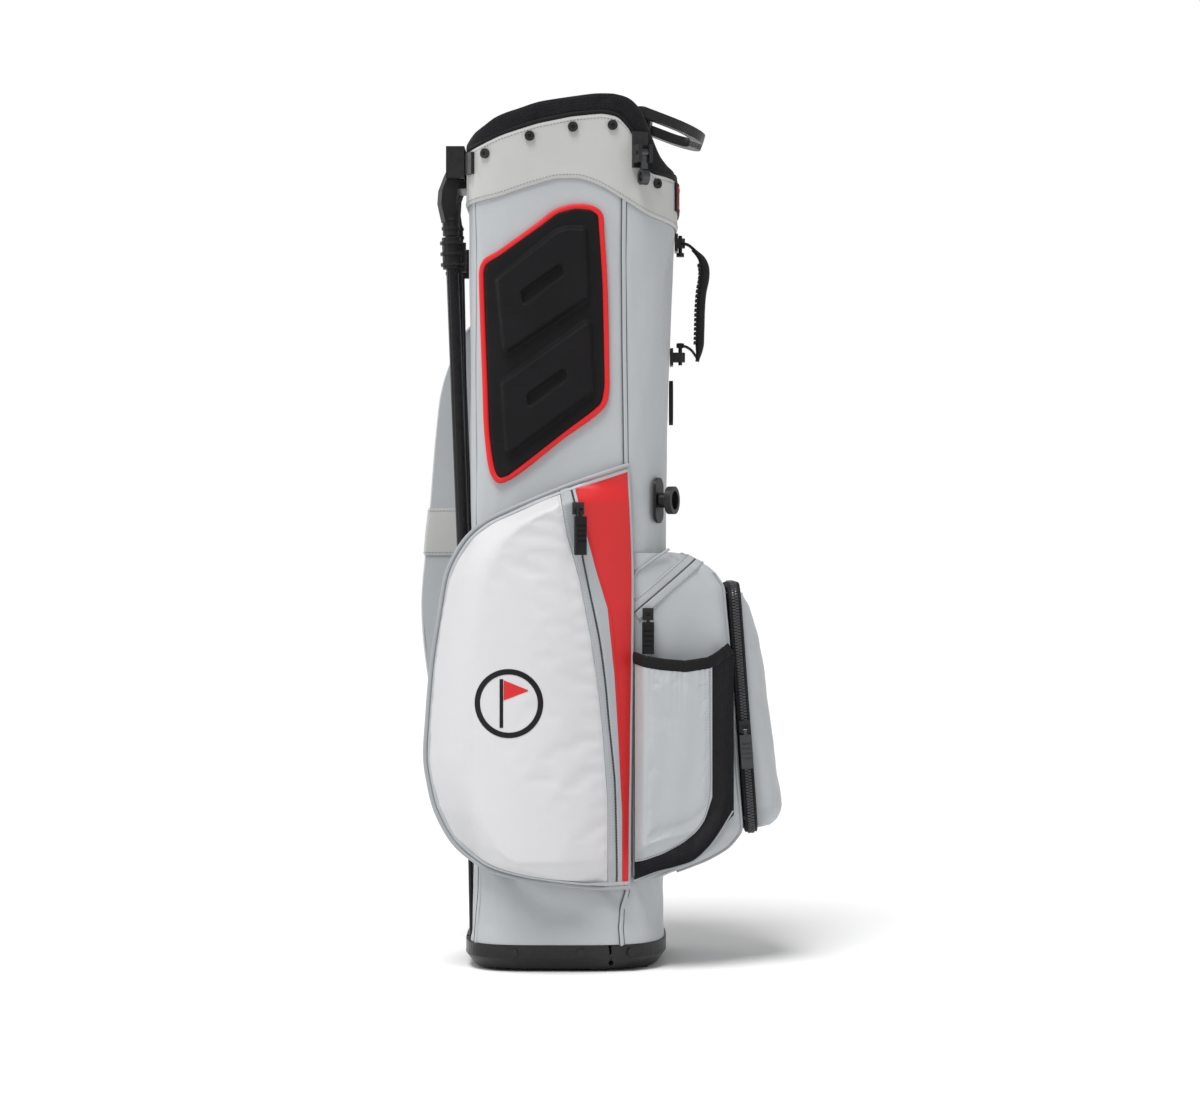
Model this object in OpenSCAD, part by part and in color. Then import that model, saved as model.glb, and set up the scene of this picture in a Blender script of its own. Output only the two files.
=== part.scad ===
// Golf stand bag: a fabric body on a hinged base, with two spring legs at the back.
// +X is the front (spine and ball pocket), -X the back (legs), -Y the hip pad side.
// The origin is on the ground under the centre of the base.

/* [Body] */
// Half of the width across the sides
half_width = 105; // [100:1:110]
// Distance from the axis to the back panel
rear_half = 103; // [98:1:106]
// Squareness of the body's outline at the front
squareness = 3.2; // [2.8:0.1:3.6]
// Squareness of the body's outline at the back
rear_squareness = 4.2; // [3.2:0.1:4.6]
// Thickness of the body fabric
fabric = 2.4; // [1.5:0.1:3]
// Height of the top of the soft skirt above the base
skirt_top = 110; // [105:1:120]

/* [Base] */
// Height of the base rim
rim_top = 27; // [24:1:30]
// Distance of the base hinge in front of the axis
hinge_x = 43; // [40:1:48]
// Height of the base hinge
hinge_z = 9; // [8:0.5:10]

/* [Stand] */
// Radius of a leg tube
leg_r = 6.3; // [5:0.1:7]
// Angle of the leg hinges in plan
splay = 25; // [20:1:30]
// Radius of the push rod wire
rod_r = 2.5; // [2:0.1:3]
// Radius of a leg hinge pin
pin_r = 3; // [2.5:0.1:3.5]

/* [Pockets] */
// How far the side pocket stands out from the body
side_depth = 43; // [35:1:50]
// How far the long pocket stands out from the body
long_depth = 46; // [35:1:52]
// How far the bottle sleeve stands off the ball pocket
sleeve_gap = 22; // [18:1:26]

/* [Hidden] */
$fn = 48;

LIGHT = "#c9cccd";
BLACK = "#1b1b1d";
WHITE = "#f0f1f2";
RED = "#e2382f";
STEEL = "#9a9da1";

// Distance from the axis to the spine panel, by height
FRONT_HALF = [[28, 98], [480, 101], [627, 104], [745, 109], [900, 109]];
// Depth of the channel that the legs rest in, by height
CHANNEL = [[28, 10], [100, 21.5], [160, 21.5], [200, 17], [300, 12], [445, 6.5], [600, 2], [700, 1]];
channel_half = 54;
// Edges of the top, by distance along X
COLLAR_TOP = [[-106, 829], [-97, 842], [-72, 858], [-30, 870], [29, 878], [50, 878], [64, 874],
    [76, 862], [84, 838], [92, 816], [104, 808], [112, 804]];
BAND_TOP = [[-106, 822], [-89, 827], [-65, 837], [-30, 848], [4, 855], [34, 858], [50, 855],
    [64, 839], [72, 815], [80, 800], [112, 797]];
BAND_LOW = [[-106, 769], [-69, 775], [-39, 785], [-12, 793], [13, 793], [32, 786], [52, 774],
    [80, 757], [103, 751], [112, 749]];
lap = 0.4;              // gap between layers of one body
frame_in = -9.5;          // inner offset of the cuff frame
frame_out = -3.8;         // outer offset of the cuff frame
band_out = 2.7;         // outer offset of the cuff band
spine_seam = 66;        // angle of the seams between the spine and side panels
back_seam = 146;        // angle of the seams between the side and back panels
seam_gap = 0.25;        // half the angle left open at a seam
inner_low = 100;        // lowest height of what stands inside the body

leg_y = 46;             // legs' distance from the middle plane
leg_pivot = [-115, 812];
head_half = 5.5;        // half the width of a leg head
slot_half = 8.6;        // half the width of a slot in the leg bracket
tube_top = [-120, 750];
tube_low = [-96.3, 130];
rod_y = 28;             // push rods' distance from the middle plane
rod_low = [-99, 15];
rod_top = [-112, 719];

function sgn(v) = v < 0 ? -1 : 1;
function ramp(v) = let(t = min(1, max(0, v))) t * t * (3 - 2 * t);
function mix(a, b, t) = a + (b - a) * t;

function corner_power(x) = x > 0 ? squareness : rear_squareness;
// Outline of the body at angle a and height z, pushed out by off
function outline(a, z, off) =
    let(c = cos(a), s = sin(a), e = 2 / corner_power(c),
        hx = (c > 0 ? lookup(z, FRONT_HALF) : rear_half) + off,
        x = sgn(c) * pow(abs(c), e) * hx,
        y = sgn(s) * pow(abs(s), e) * (half_width + off),
        dent = c < 0 ? lookup(z, CHANNEL) / (1 + pow(abs(y) / channel_half, 14)) : 0)
    [x + dent, y];
function on_body(a, z, off) = let(p = outline(a, z, off)) [p.x, p.y, z];
// Half width of the body at distance x along the axis
function body_y(x, z, off = 0) =
    let(hx = (x > 0 ? lookup(z, FRONT_HALF) : rear_half) + off, u = min(1, abs(x) / hx), n = corner_power(x))
    (half_width + off) * pow(1 - pow(u, n), 1 / n);
// Direction of the body's outward normal at distance x on the +Y side
function normal_angle(x, z) =
    let(hx = x > 0 ? lookup(z, FRONT_HALF) : rear_half, y = body_y(x, z), n = corner_power(x) - 1)
    atan2(pow(y / half_width, n) / half_width, sgn(x) * pow(abs(x) / hx, n) / hx);

// Skin over a row of loops with equal numbers of points. The second half of a loop is split along the
// other diagonal, so that the two faces of a thin sheet stay parallel.
module loft(rings, closed = false) {
    m = len(rings[0]);
    n = len(rings);
    spans = closed ? n : n - 1;
    sides = [for (i = [0:spans - 1], j = [0:m - 1])
        let(a = i * m + j, b = i * m + (j + 1) % m, k = ((i + 1) % n) * m, c = k + (j + 1) % m, d = k + j)
        each j < m / 2 ? [[a, d, c], [a, c, b]] : [[a, d, b], [b, d, c]]];
    k = (n - 1) * m;
    ends = closed ? [] : m % 2 == 1 ? [[for (j = [0:m - 1]) j], [for (j = [m - 1:-1:0]) k + j]]
        : [for (a = [0:m / 2 - 2]) let(b = a + 1, c = m - 2 - a, d = m - 1 - a)
            each [[a, b, c], [a, c, d], [k + c, k + b, k + a], [k + d, k + c, k + a]]];
    polyhedron([for (r = rings) each r], concat(sides, ends));
}

// Cross section of a layer of the body at angle a, between two heights and two offsets
function layer_loop(a, low, high, inner, outer, rows = 1) = concat(
    [for (k = [0:rows]) on_body(a, mix(high, low, k / rows), outer)],
    [for (k = [0:rows]) on_body(a, mix(low, high, k / rows), inner)]);
function rim_x(a) = outline(a, 800, 0).x;

// Place children on the body's side, with their +X along the outward normal
module on_side(x, z, off, side = -1) {
    ang = normal_angle(x, z);
    translate([x + off * cos(ang), side * (body_y(x, z) + off * sin(ang)), z])
        rotate([0, 0, side * ang]) children();
}

// ---- Top of the bag

module cuff_frame() color(BLACK)
    loft([for (i = [0:79]) let(a = i * 360 / 80, x = rim_x(a))
        layer_loop(a, lookup(x, BAND_LOW) - 6, lookup(x, BAND_TOP) - 1, frame_in, frame_out)], true);

module collar_pad() color(BLACK)
    loft([for (i = [0:79]) let(a = i * 360 / 80, x = rim_x(a), top = lookup(x, COLLAR_TOP),
            low = lookup(x, BAND_TOP), round = 5)
        [on_body(a, top, -3), on_body(a, top - round, 1.5), on_body(a, low, 1.5),
         on_body(a, low, -12), on_body(a, top - round, -12), on_body(a, top, -8)]], true);

module cuff_band() color(LIGHT)
    loft([for (i = [0:79]) let(a = i * 360 / 80, x = rim_x(a))
        layer_loop(a, lookup(x, BAND_LOW), lookup(x, BAND_TOP) - lap, lap, band_out)], true);

module cuff_screws() color(BLACK) {
    spots = [[-81, 819], [-38, 835], [5, 844], [44, 846], [87, 790]];
    for (side = [-1, 1], p = spots)
        on_side(p.x, p.y, band_out + 0.5, side) rotate([0, 90, 0]) difference() {
            cylinder(r = 5, h = 2.4);
            translate([0, 0, 1.4]) cylinder(r = 2, h = 2, $fn = 6);
        }
}

module cuff_patch() color(BLACK)
    loft([for (i = [0:12]) let(a = mix(-20, 20, i / 12)) layer_loop(a, 766, 796, 3.1, 5)]);

divider_low = 760;
divider_high = 792;
module divider_top() color(BLACK) {
    translate([-92, -4, divider_low]) cube([191, 8, divider_high - divider_low]);
    translate([-3, -95, divider_low]) cube([10, 190, divider_high - divider_low]);
    for (side = [-1, 1]) translate([2, side * 60, divider_high]) rotate([0, 90, 90])
        cylinder(r = 5, h = 60, center = true);
    translate([2, 0, divider_high]) rotate([0, 90, 0]) cylinder(r = 4, h = 180, center = true);
}

module divider_panels() color("#2b2c2f") {
    translate([-77, -1, inner_low]) cube([168, 2, divider_low - lap - inner_low]);
    translate([1, -99, inner_low]) cube([2, 198, divider_low - lap - inner_low]);
}

handle_root = [73, 868];
handle_slope = 21;
module lift_handle() color(BLACK) {
    translate([handle_root.x, 0, handle_root.y]) rotate([0, handle_slope, 0]) difference() {
        linear_extrude(10, center = true) difference() {
            handle_outline(0);
            handle_outline(13);
        }
        for (y = [-16:8:16]) translate([66, y, -6]) rotate([0, 90, 0])
            cylinder(r = 3, h = 30, center = true);
    }
    for (side = [-1, 1]) {
        translate([64, side * 67 - 6, 776]) cube([12, 12, 94]);
        translate([64, side * 70 - 9, 774]) cube([12, 18, 16]);
    }
}
// D shaped outline of the lift handle, shrunk by wall
module handle_outline(wall) {
    reach = 70;
    wide = 60;
    corner = 38;
    start = wall > 0 ? wall : 2;
    intersection() {
        translate([start, -wide]) square([reach, 2 * wide]);
        offset(delta = -wall) hull() {
            translate([-20, -wide]) square([10, 2 * wide]);
            for (side = [-1, 1]) translate([reach - corner, side * (wide - corner)]) circle(r = corner);
        }
    }
}

// Upper strap fastening on the near side of the cuff
hook_x = 70;
hook_z = 818;
module strap_hook_bracket() color(BLACK)
    on_side(hook_x, hook_z, band_out + 0.3) {
        difference() {
            union() {
                translate([0, -8, -14]) cube([4, 16, 36]);
                for (side = [-1, 1]) translate([3, side * 6 - 2, -10]) cube([13, 4, 18]);
            }
            translate([11, 0, 0]) rotate([90, 0, 0]) cylinder(r = 2.05, h = 30, center = true);
        }
        translate([11, 0, 0]) rotate([90, 0, 0]) cylinder(r = 2, h = 18, center = true);
    }
module strap_hook_loop() color(STEEL)
    on_side(hook_x, hook_z, band_out + 0.3) translate([11, 0, 0]) {
        difference() {
            union() {
                rotate([90, 0, 0]) cylinder(r = 4, h = 7, center = true);
                translate([-2, -3.5, -20]) cube([4, 7, 20]);
                translate([0, 0, -24]) rotate([90, 0, 0]) cylinder(r = 8, h = 7, center = true);
            }
            rotate([90, 0, 0]) cylinder(r = 2.1, h = 20, center = true);
            translate([0, 0, -24]) rotate([90, 0, 0]) cylinder(r = 4.5, h = 20, center = true);
        }
    }

// ---- Fabric body

module body_panel(a0, a1, steps) {
    loft([for (i = [0:steps]) let(a = mix(a0 + seam_gap, a1 - seam_gap, i / steps), x = rim_x(a))
        layer_loop(a, skirt_top + lap, lookup(x, BAND_TOP) - 2, -fabric, 0, 9)]);
}
module spine_panel() color(LIGHT) body_panel(-spine_seam, spine_seam, 24);
module side_panel_far() color(LIGHT) body_panel(spine_seam, back_seam, 15);
module back_panel() color(LIGHT) body_panel(back_seam, 360 - back_seam, 17);
module side_panel_near() color(LIGHT) body_panel(360 - back_seam, 360 - spine_seam, 15);

module body_skirt() color(LIGHT)
    loft([for (i = [0:63]) layer_loop(i * 360 / 64, rim_top + lap, skirt_top, -fabric, 0, 4)], true);

module body_stays() color("#3a3b3d") {
    for (side = [-1, 1]) {
        translate([60, side * 80, taper_top + lap]) cylinder(r = 3, h = 735 - taper_top - lap);
        translate([-66, side * 74, inner_low]) cylinder(r = 3, h = 635);
    }
}

// Hip pad: upper and lower edges by distance along X
PAD_TOP = [[-88, 701], [-84, 712], [-69, 721], [-31, 748], [-12, 762], [7, 767], [25, 765], [34, 758],
    [36, 738], [39, 690], [41, 600]];
PAD_LOW = [[-88, 690], [-85, 600], [-82, 531], [-76, 497], [-69, 489], [-58, 492], [-7, 531], [37, 566],
    [41, 585]];
function pad_loop(x, top, low, inner, outer, rows) = concat(
    [for (k = [0:rows]) let(z = mix(top, low, k / rows)) [x, -body_y(x, z) - outer, z]],
    [for (k = [0:rows]) let(z = mix(low, top, k / rows)) [x, -body_y(x, z) - inner, z]]);
module pad_plate(xs, tops, lows, inset, inner, outer)
    loft([for (x = xs) pad_loop(x, lookup(x, tops) - inset, lookup(x, lows) + inset, inner, outer, 3)]);
BLOCK_A_TOP = [[-75, 694], [-55, 711], [-15, 743], [-2, 747], [22, 746], [24.5, 744]];
BLOCK_A_LOW = [[-75, 613], [-67, 611], [24.5, 672]];
BLOCK_B_TOP = [[-70, 592], [-67, 599], [25, 660], [28, 656]];
BLOCK_B_LOW = [[-70, 513], [-65, 508], [27, 575], [28, 578]];
module hip_pad() color(BLACK) {
    pad_plate([for (x = [-82:5:33]) x], PAD_TOP, PAD_LOW, 7, 0.5, 7);
    pad_plate([for (x = [-74:7:24]) x], BLOCK_A_TOP, BLOCK_A_LOW, 0, 6.8, 14);
    pad_plate([for (x = [-69:8:27]) x], BLOCK_B_TOP, BLOCK_B_LOW, 0, 6.8, 14);
}
module hip_pad_piping() color(RED) difference() {
    pad_plate([-87.5, -86, -84, for (x = [-80:6:34]) x, 37, 39, 40.5], PAD_TOP, PAD_LOW, 0.5, 0.4, 5);
    pad_plate([-82.6, for (x = [-81:5:29]) x, 33.6], PAD_TOP, PAD_LOW, 6.6, -6, 12);
}

module spine_patch() color(BLACK)
    translate([lookup(574, FRONT_HALF) + 0.5, 0, 574]) rotate([0, 90, 0]) {
        translate([-11, -12, 0]) cube([22, 24, 4]);
        for (side = [-1, 1]) translate([side * 11, 0, 0]) cylinder(r = 12, h = 4);
    }

// ---- Spine handle, which swings on a line through its two anchors
anchor_x = 115;
anchor_low = 630;
anchor_high = 730;
module spine_anchors() color(BLACK)
    for (z = [anchor_low - 9, anchor_high + 9]) {
        x0 = lookup(z, FRONT_HALF) + 0.6;
        difference() {
            union() {
                translate([x0, -13, z - 9]) cube([3, 26, 18]);
                translate([x0, -5, z - 5]) cube([anchor_x - x0, 10, 10]);
                translate([anchor_x, 0, z]) cylinder(r = 5, h = 10, center = true);
            }
            translate([anchor_x, 0, z]) cylinder(r = 2.1, h = 40, center = true);
        }
    }
module spine_grip() color(BLACK) {
    for (z = [anchor_low - 17, anchor_high - 5]) translate([anchor_x, 0, z]) cylinder(r = 2, h = 22);
    for (z = [anchor_low + 3.2, anchor_high - 3.2]) translate([anchor_x, 0, z])
        cylinder(r = 4, h = 5, center = true);
    for (z = [anchor_low + 0.7, anchor_high - 5.7]) translate([anchor_x + 1, -3.5, z]) cube([9, 7, 5]);
    rotate([90, 0, 0]) linear_extrude(26, center = true)
        polygon([[123, 630], [134, 614], [139, 618], [141, 660], [143, 690], [146.5, 707], [144.5, 717],
            [136, 728], [123, 731], [123, 725], [130, 723], [133, 714], [130, 694], [130, 652],
            [131, 632], [130, 624], [126, 636], [123, 637]]);
}

// ---- Base

base_front_half = 100;
base_rear_half = 105;
floor_low = 3;
floor_high = 6;
knuckle_r = 5.5;
flap_turn = 9;          // angle cut away above the hinge so that the flap can rise
function base_pt(a, off) = let(c = cos(a), s = sin(a), e = 2 / corner_power(c))
    [sgn(c) * pow(abs(c), e) * ((c > 0 ? base_front_half : base_rear_half) + off),
     sgn(s) * pow(abs(s), e) * (half_width + 1 + off)];
module base_area(off) polygon([for (i = [0:71]) base_pt(i * 5, off)]);
taper_top = 14;         // height where the base stops widening
module base_tray() difference() {
    union() {
        translate([0, 0, floor_low]) linear_extrude(taper_top - floor_low, scale = [1.085, 1.08]) base_area(-8);
        translate([0, 0, taper_top]) linear_extrude(rim_top - taper_top) base_area(0);
    }
    translate([0, 0, floor_high]) linear_extrude(taper_top - floor_high + 1) base_area(-14);
    translate([0, 0, taper_top]) linear_extrude(rim_top) base_area(-7);
}
module knuckles(ys, width)
    for (y = ys) translate([hinge_x, y, hinge_z]) rotate([90, 0, 0]) cylinder(r = knuckle_r, h = width, center = true);
module hinge_bore(r) translate([hinge_x, 0, hinge_z]) rotate([90, 0, 0]) cylinder(r = r, h = 240, center = true);

module base_front() color(BLACK) difference() {
    union() {
        front_feet();
        intersection() {
            base_tray();
            translate([hinge_x + 0.4, -120, 0]) cube([80, 240, 40]);
        }
        knuckles([-46, 46], 28);
        for (side = [-1, 1]) translate([hinge_x, side * 46 - 14, floor_low]) cube([14, 28, 6]);
    }
    translate([hinge_x - 10, -31, -1]) cube([17, 62, 20]);
    hinge_bore(2.5);
}
// Place children at a push rod's foot, with their +Y along the rod's hinge line
module at_rod_foot(side) translate([rod_low.x, side * rod_y, rod_low.y])
    rotate([-side * 0.387, 0, -side * 9.513]) children();
module base_flap() color(BLACK) {
    flap_body();
    for (side = [-1, 1]) at_rod_foot(side) rotate([90, 0, 0]) cylinder(r = 2, h = 15, center = true);
}
module flap_body() difference() {
    union() {
        flap_feet();
        intersection() {
            base_tray();
            translate([-120, -120, 0]) cube([120 + hinge_x - 0.4, 240, 40]);
        }
        knuckles([0], 58);
        translate([hinge_x - 14, -29, floor_low]) cube([14, 58, 6]);
        for (side = [-1, 1]) translate([-101, side * rod_y - 9, 9.5]) cube([16, 18, 13.5]);
    }
    translate([hinge_x, 0, hinge_z]) rotate([0, -flap_turn, 0]) translate([0.2, -120, 0]) cube([40, 240, 60]);
    for (side = [-1, 1]) {
        translate([hinge_x - 7, side * 46 - 15.5, -1]) cube([17, 31, 20]);
        translate([-109, side * rod_y - 4, 9]) cube([18, 8, 30]);
    }
    hinge_bore(2.56);
}
module base_hinge_pin() color(STEEL)
    translate([hinge_x, 0, hinge_z]) rotate([90, 0, 0]) cylinder(r = 2.5, h = 118, center = true);

module foot_pad(x, y, long, wide) translate([x - long / 2, y - wide / 2, 0]) cube([long, wide, floor_low + 1]);
module front_feet() for (side = [-1, 1]) foot_pad(70, side * 56, 20, 12);
module flap_feet() {
    for (side = [-1, 1]) {
        foot_pad(-66, side * 72, 14, 12);
        foot_pad(30, side * 84, 16, 12);
    }
    foot_pad(0, 0, 60, 16);
}
// Screw heads on the rim at distances xs along the axis, off the body's outline
module rim_screws(xs, off) for (side = [-1, 1], x = xs)
    on_side(x, 20, off, side) rotate([0, 90, 0]) cylinder(r = 4, h = 1.6);
module base_screws_front() color(STEEL) rim_screws([62], 2.2);
module base_screws_flap() color(STEEL) rim_screws([-54, 13], 1.5);

// ---- Stand

// Place children at a leg's pivot, with their +Y along its hinge axis
module at_pivot(side) translate([leg_pivot.x, side * leg_y, leg_pivot.y]) rotate([0, 0, -side * splay]) children();

module leg_bracket() color(BLACK) difference() {
    union() {
        translate([-124, -64, 799]) cube([18.6, 128, 32]);
        translate([-124, -30, 792]) cube([18.6, 60, 10]);
    }
    for (side = [-1, 1]) at_pivot(side) {
        translate([-40, -slot_half, -30]) cube([49, 2 * slot_half, 38.5]);
        rotate([90, 0, 0]) cylinder(r = pin_r + 0.02, h = 30, center = true);
    }
}
module leg_bracket_wings() color(BLACK) for (start = [141.5, 206.5])
    loft([for (i = [0:4]) layer_loop(start + i * 3, 800, 822, 3.1, 6.5)]);
module leg_hinge_pins() color(STEEL) for (side = [-1, 1]) at_pivot(side)
    rotate([90, 0, 0]) cylinder(r = pin_r, h = 26, center = true);
module leg_springs() color(STEEL) for (side = [-1, 1], y = [-7.9, -6.4, 6.4, 7.9]) at_pivot(side)
    translate([0, y, 0]) rotate([90, 0, 0]) rotate_extrude() translate([4.4, 0]) circle(r = 0.6, $fn = 16);

// Cylinder from p to q
module rod_between(p, q, r) {
    d = q - p;
    translate(p) rotate([0, acos(d.z / norm(d)), atan2(d.y, d.x)]) cylinder(r = r, h = norm(d));
}
function on_tube(z, side) = [mix(tube_low.x, tube_top.x, (z - tube_low.y) / (tube_top.y - tube_low.y)),
    side * leg_y, z];

module leg_head(side) difference() {
    union() {
        at_pivot(side) {
            rotate([90, 0, 0]) cylinder(r = 6, h = 2 * head_half, center = true);
            rotate([90, 0, 0]) linear_extrude(2 * head_half, center = true)
                polygon([[-6, 0], [-11, -10], [-17, -25], [-18, -38], [-13.5, -57], [1, -57], [-2, -38],
                    [-1, -24], [4, -12], [6, -1]]);
        }
        rod_between(on_tube(742, side), on_tube(762, side), 8.4);
        for (z = [748, 757]) rod_between(on_tube(z, side), on_tube(z + 3, side), 9.4);
    }
    at_pivot(side) rotate([90, 0, 0]) cylinder(r = pin_r + 0.06, h = 30, center = true);
    rod_between(on_tube(735, side), on_tube(tube_top.y, side), leg_r);
}
module leg_tube(side) difference() {
    rod_between(on_tube(tube_low.y, side), on_tube(tube_top.y, side), leg_r);
    rod_between(on_tube(tube_low.y - 2, side), on_tube(tube_top.y + 2, side), leg_r - 1.2);
}
slot_low = 2.6;
slot_high = 8.6;
module leg_collar(side) difference() {
    union() {
        rod_between(on_tube(708, side), on_tube(740, side), 9.6);
        for (z = [711, 722, 733]) rod_between(on_tube(z, side), on_tube(z + 3, side), 11.6);
        translate([-119, side * 35.4 - 2.8, 706]) cube([14, 5.6, 30]);
    }
    rod_between(on_tube(700, side), on_tube(745, side), leg_r);
    translate([rod_top.x - 3.7, side * 34.4 - 4.2, rod_top.y - slot_low])
        cube([6.6, 8.4, slot_low + slot_high]);
}
module leg_foot(side) difference() {
    union() {
        rod_between(on_tube(124, side), on_tube(150, side), 8.8);
        rod_between(on_tube(122, side), on_tube(124, side), 7.6);
    }
    rod_between(on_tube(tube_low.y, side), on_tube(160, side), leg_r);
}
module push_rod(side) {
    low = [rod_low.x, side * rod_y, rod_low.y];
    top = [rod_top.x, side * rod_y, rod_top.y];
    difference() {
        union() {
            rod_between(low, top + (top - low) * 0.0032, rod_r);
            at_rod_foot(side) rotate([90, 0, 0]) cylinder(r = 4.6, h = 5.6, center = true);
        }
        at_rod_foot(side) rotate([90, 0, 0]) cylinder(r = 2.5, h = 20, center = true);
    }
    rod_between(top, top + [0, side * 9, 0], 2);
}
module leg_head_near() color(BLACK) leg_head(-1);
module leg_tube_near() color(BLACK) leg_tube(-1);
module leg_collar_near() color(BLACK) leg_collar(-1);
module leg_foot_near() color(BLACK) leg_foot(-1);
module leg_head_far() color(BLACK) leg_head(1);
module leg_tube_far() color(BLACK) leg_tube(1);
module leg_collar_far() color(BLACK) leg_collar(1);
module leg_foot_far() color(BLACK) leg_foot(1);
module push_rod_near() color(STEEL) push_rod(-1);
module push_rod_far() color(STEEL) push_rod(1);

// ---- Side pocket on the near side
// Edges by height: back edge, panel edge, tape edge and front seam
SIDE_BACK = [[87, 10], [88.5, 0], [94, -42], [106, -84], [126, -112], [160, -132], [191, -140], [214, -143],
    [254, -141], [312, -136], [357, -129], [397, -122], [414, -115], [435, -101], [451, -81], [462, -58],
    [474, -30], [483, -8]];
SIDE_PANEL = [[84, 40], [174, 40], [242, 35], [282, 31], [338, 23], [394, 12], [436, 0], [483, -8]];
SIDE_TAPE = [[84, 54], [160, 54], [239, 50], [296, 46.5], [364, 39.5], [402, 28], [444, 17], [484, 7]];
SIDE_SEAM = [[84, 61], [189, 62], [332, 64], [412, 64], [462, 62], [506, 60]];
// Outer face of the pocket
function side_y(x, z) =
    let(seam = lookup(z, SIDE_SEAM), back = lookup(z, SIDE_BACK),
        front = 0.12 + 0.88 * min(1, max(0, (seam - x) / 70)),
        rear = 0.35 + 0.65 * ramp((x - back) / 46),
        ends = 0.5 + 0.5 * ramp(min((z - 86) / 30, (490 - z) / 22)))
    max(82, body_y(x, z)) + side_depth * front * rear * ends;
// Inner face of a pocket whose outer face is at y: clear of the body, and no nearer the middle than low
function pocket_in(y, low, x, z) = min(y - 0.6, max(low, body_y(x, z) + 2.6));
// Slice of the pocket at height z between x0 and x1
function side_loop(x0, x1, z, steps) = concat(
    [for (k = [0:steps]) let(x = mix(x0, x1, k / steps)) [x, -side_y(x, z), z]],
    [for (k = [0:steps]) let(x = mix(x1, x0, k / steps)) [x, -pocket_in(side_y(x, z), 82, x, z), z]]);
module side_part(left, right, low, high, rows, steps, gap)
    loft([for (i = [0:rows]) let(z = mix(low, high, (1 - cos(180 * i / rows)) / 2))
        side_loop(lookup(z, left), lookup(z, right) - gap, z, steps)]);
module side_pocket() color(WHITE) side_part(SIDE_BACK, SIDE_PANEL, 88, 481, 30, 14, 0.7);
module side_zip_tape() color(LIGHT) side_part(SIDE_PANEL, SIDE_TAPE, 88, 481, 30, 2, 1.2);
module side_accent() color(RED) side_part(SIDE_TAPE, SIDE_SEAM, 86, 500, 24, 4, 0);

// Zip slider body with its foot at the origin, pointing along -Y
module slider() {
    translate([-5.5, -4.5, -6]) cube([11, 4.5, 12]);
    for (side = [-1, 1]) translate([side * 3 - 1, -7.5, -6]) cube([2, 4, 6]);
    translate([0, -6.5, -4]) rotate([0, 90, 0]) cylinder(r = 0.8, h = 8, center = true, $fn = 24);
}
// Pull tab that hangs from the slider's bail
module pull_tab(long) {
    difference() {
        union() {
            translate([0, -6.5, -4]) rotate([0, 90, 0]) cylinder(r = 2, h = 3.4, center = true);
            translate([-1.7, -8.5, -8]) cube([3.4, 3, 5]);
            translate([-6, -9, -8 - long]) cube([12, 4, long]);
        }
        translate([0, -6.5, -4]) rotate([0, 90, 0]) cylinder(r = 0.9, h = 8, center = true);
        for (k = [1:4]) translate([0, -9, -12 - k * 5]) rotate([0, 90, 0]) cylinder(r = 0.8, h = 9, center = true);
    }
}
side_zip_z = 463;
side_zip_x = 8;
side_zip_turn = 29;
module at_side_zip() translate([side_zip_x, -side_y(side_zip_x, side_zip_z), side_zip_z])
    rotate([0, 0, side_zip_turn]) translate([0, -3, 0]) children();
module side_zip_slider() color(BLACK) at_side_zip() slider();
module side_zip_pull() color(BLACK) at_side_zip() pull_tab(38);

// ---- Long pocket on the far side
LONG_BACK = [[94, -60], [110, -90], [150, -122], [286, -150], [361, -157], [416, -153], [466, -148], [540, -142],
    [590, -136], [620, -127], [645, -116], [662, -100]];
long_front = 40;
function long_y(x, z) =
    let(back = lookup(z, LONG_BACK),
        front = 0.12 + 0.88 * ramp((long_front - x) / 45),
        rear = 0.4 + 0.6 * ramp((x - back) / 45),
        ends = 0.25 + 0.75 * ramp(min((z - 92) / 30, (666 - z) / 40)))
    max(85, body_y(x, z)) + long_depth * front * rear * ends;
function long_loop(z, steps) = let(x1 = lookup(z, LONG_BACK), x0 = long_front) concat(
    [for (k = [0:steps]) let(x = mix(x0, x1, k / steps)) [x, long_y(x, z), z]],
    [for (k = [0:steps]) let(x = mix(x1, x0, k / steps)) [x, pocket_in(long_y(x, z), 85, x, z), z]]);
module long_pocket() color(LIGHT) loft([for (i = [0:30]) long_loop(mix(94, 662, (1 - cos(180 * i / 30)) / 2), 14)]);
long_zip_z = 600;
long_zip_x = 0;
module at_long_zip() translate([long_zip_x, long_y(long_zip_x, long_zip_z) + 2, long_zip_z])
    rotate([0, 0, 180]) children();
module long_zip_slider() color(BLACK) at_long_zip() slider();
module long_zip_pull() color(BLACK) at_long_zip() pull_tab(30);
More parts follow.
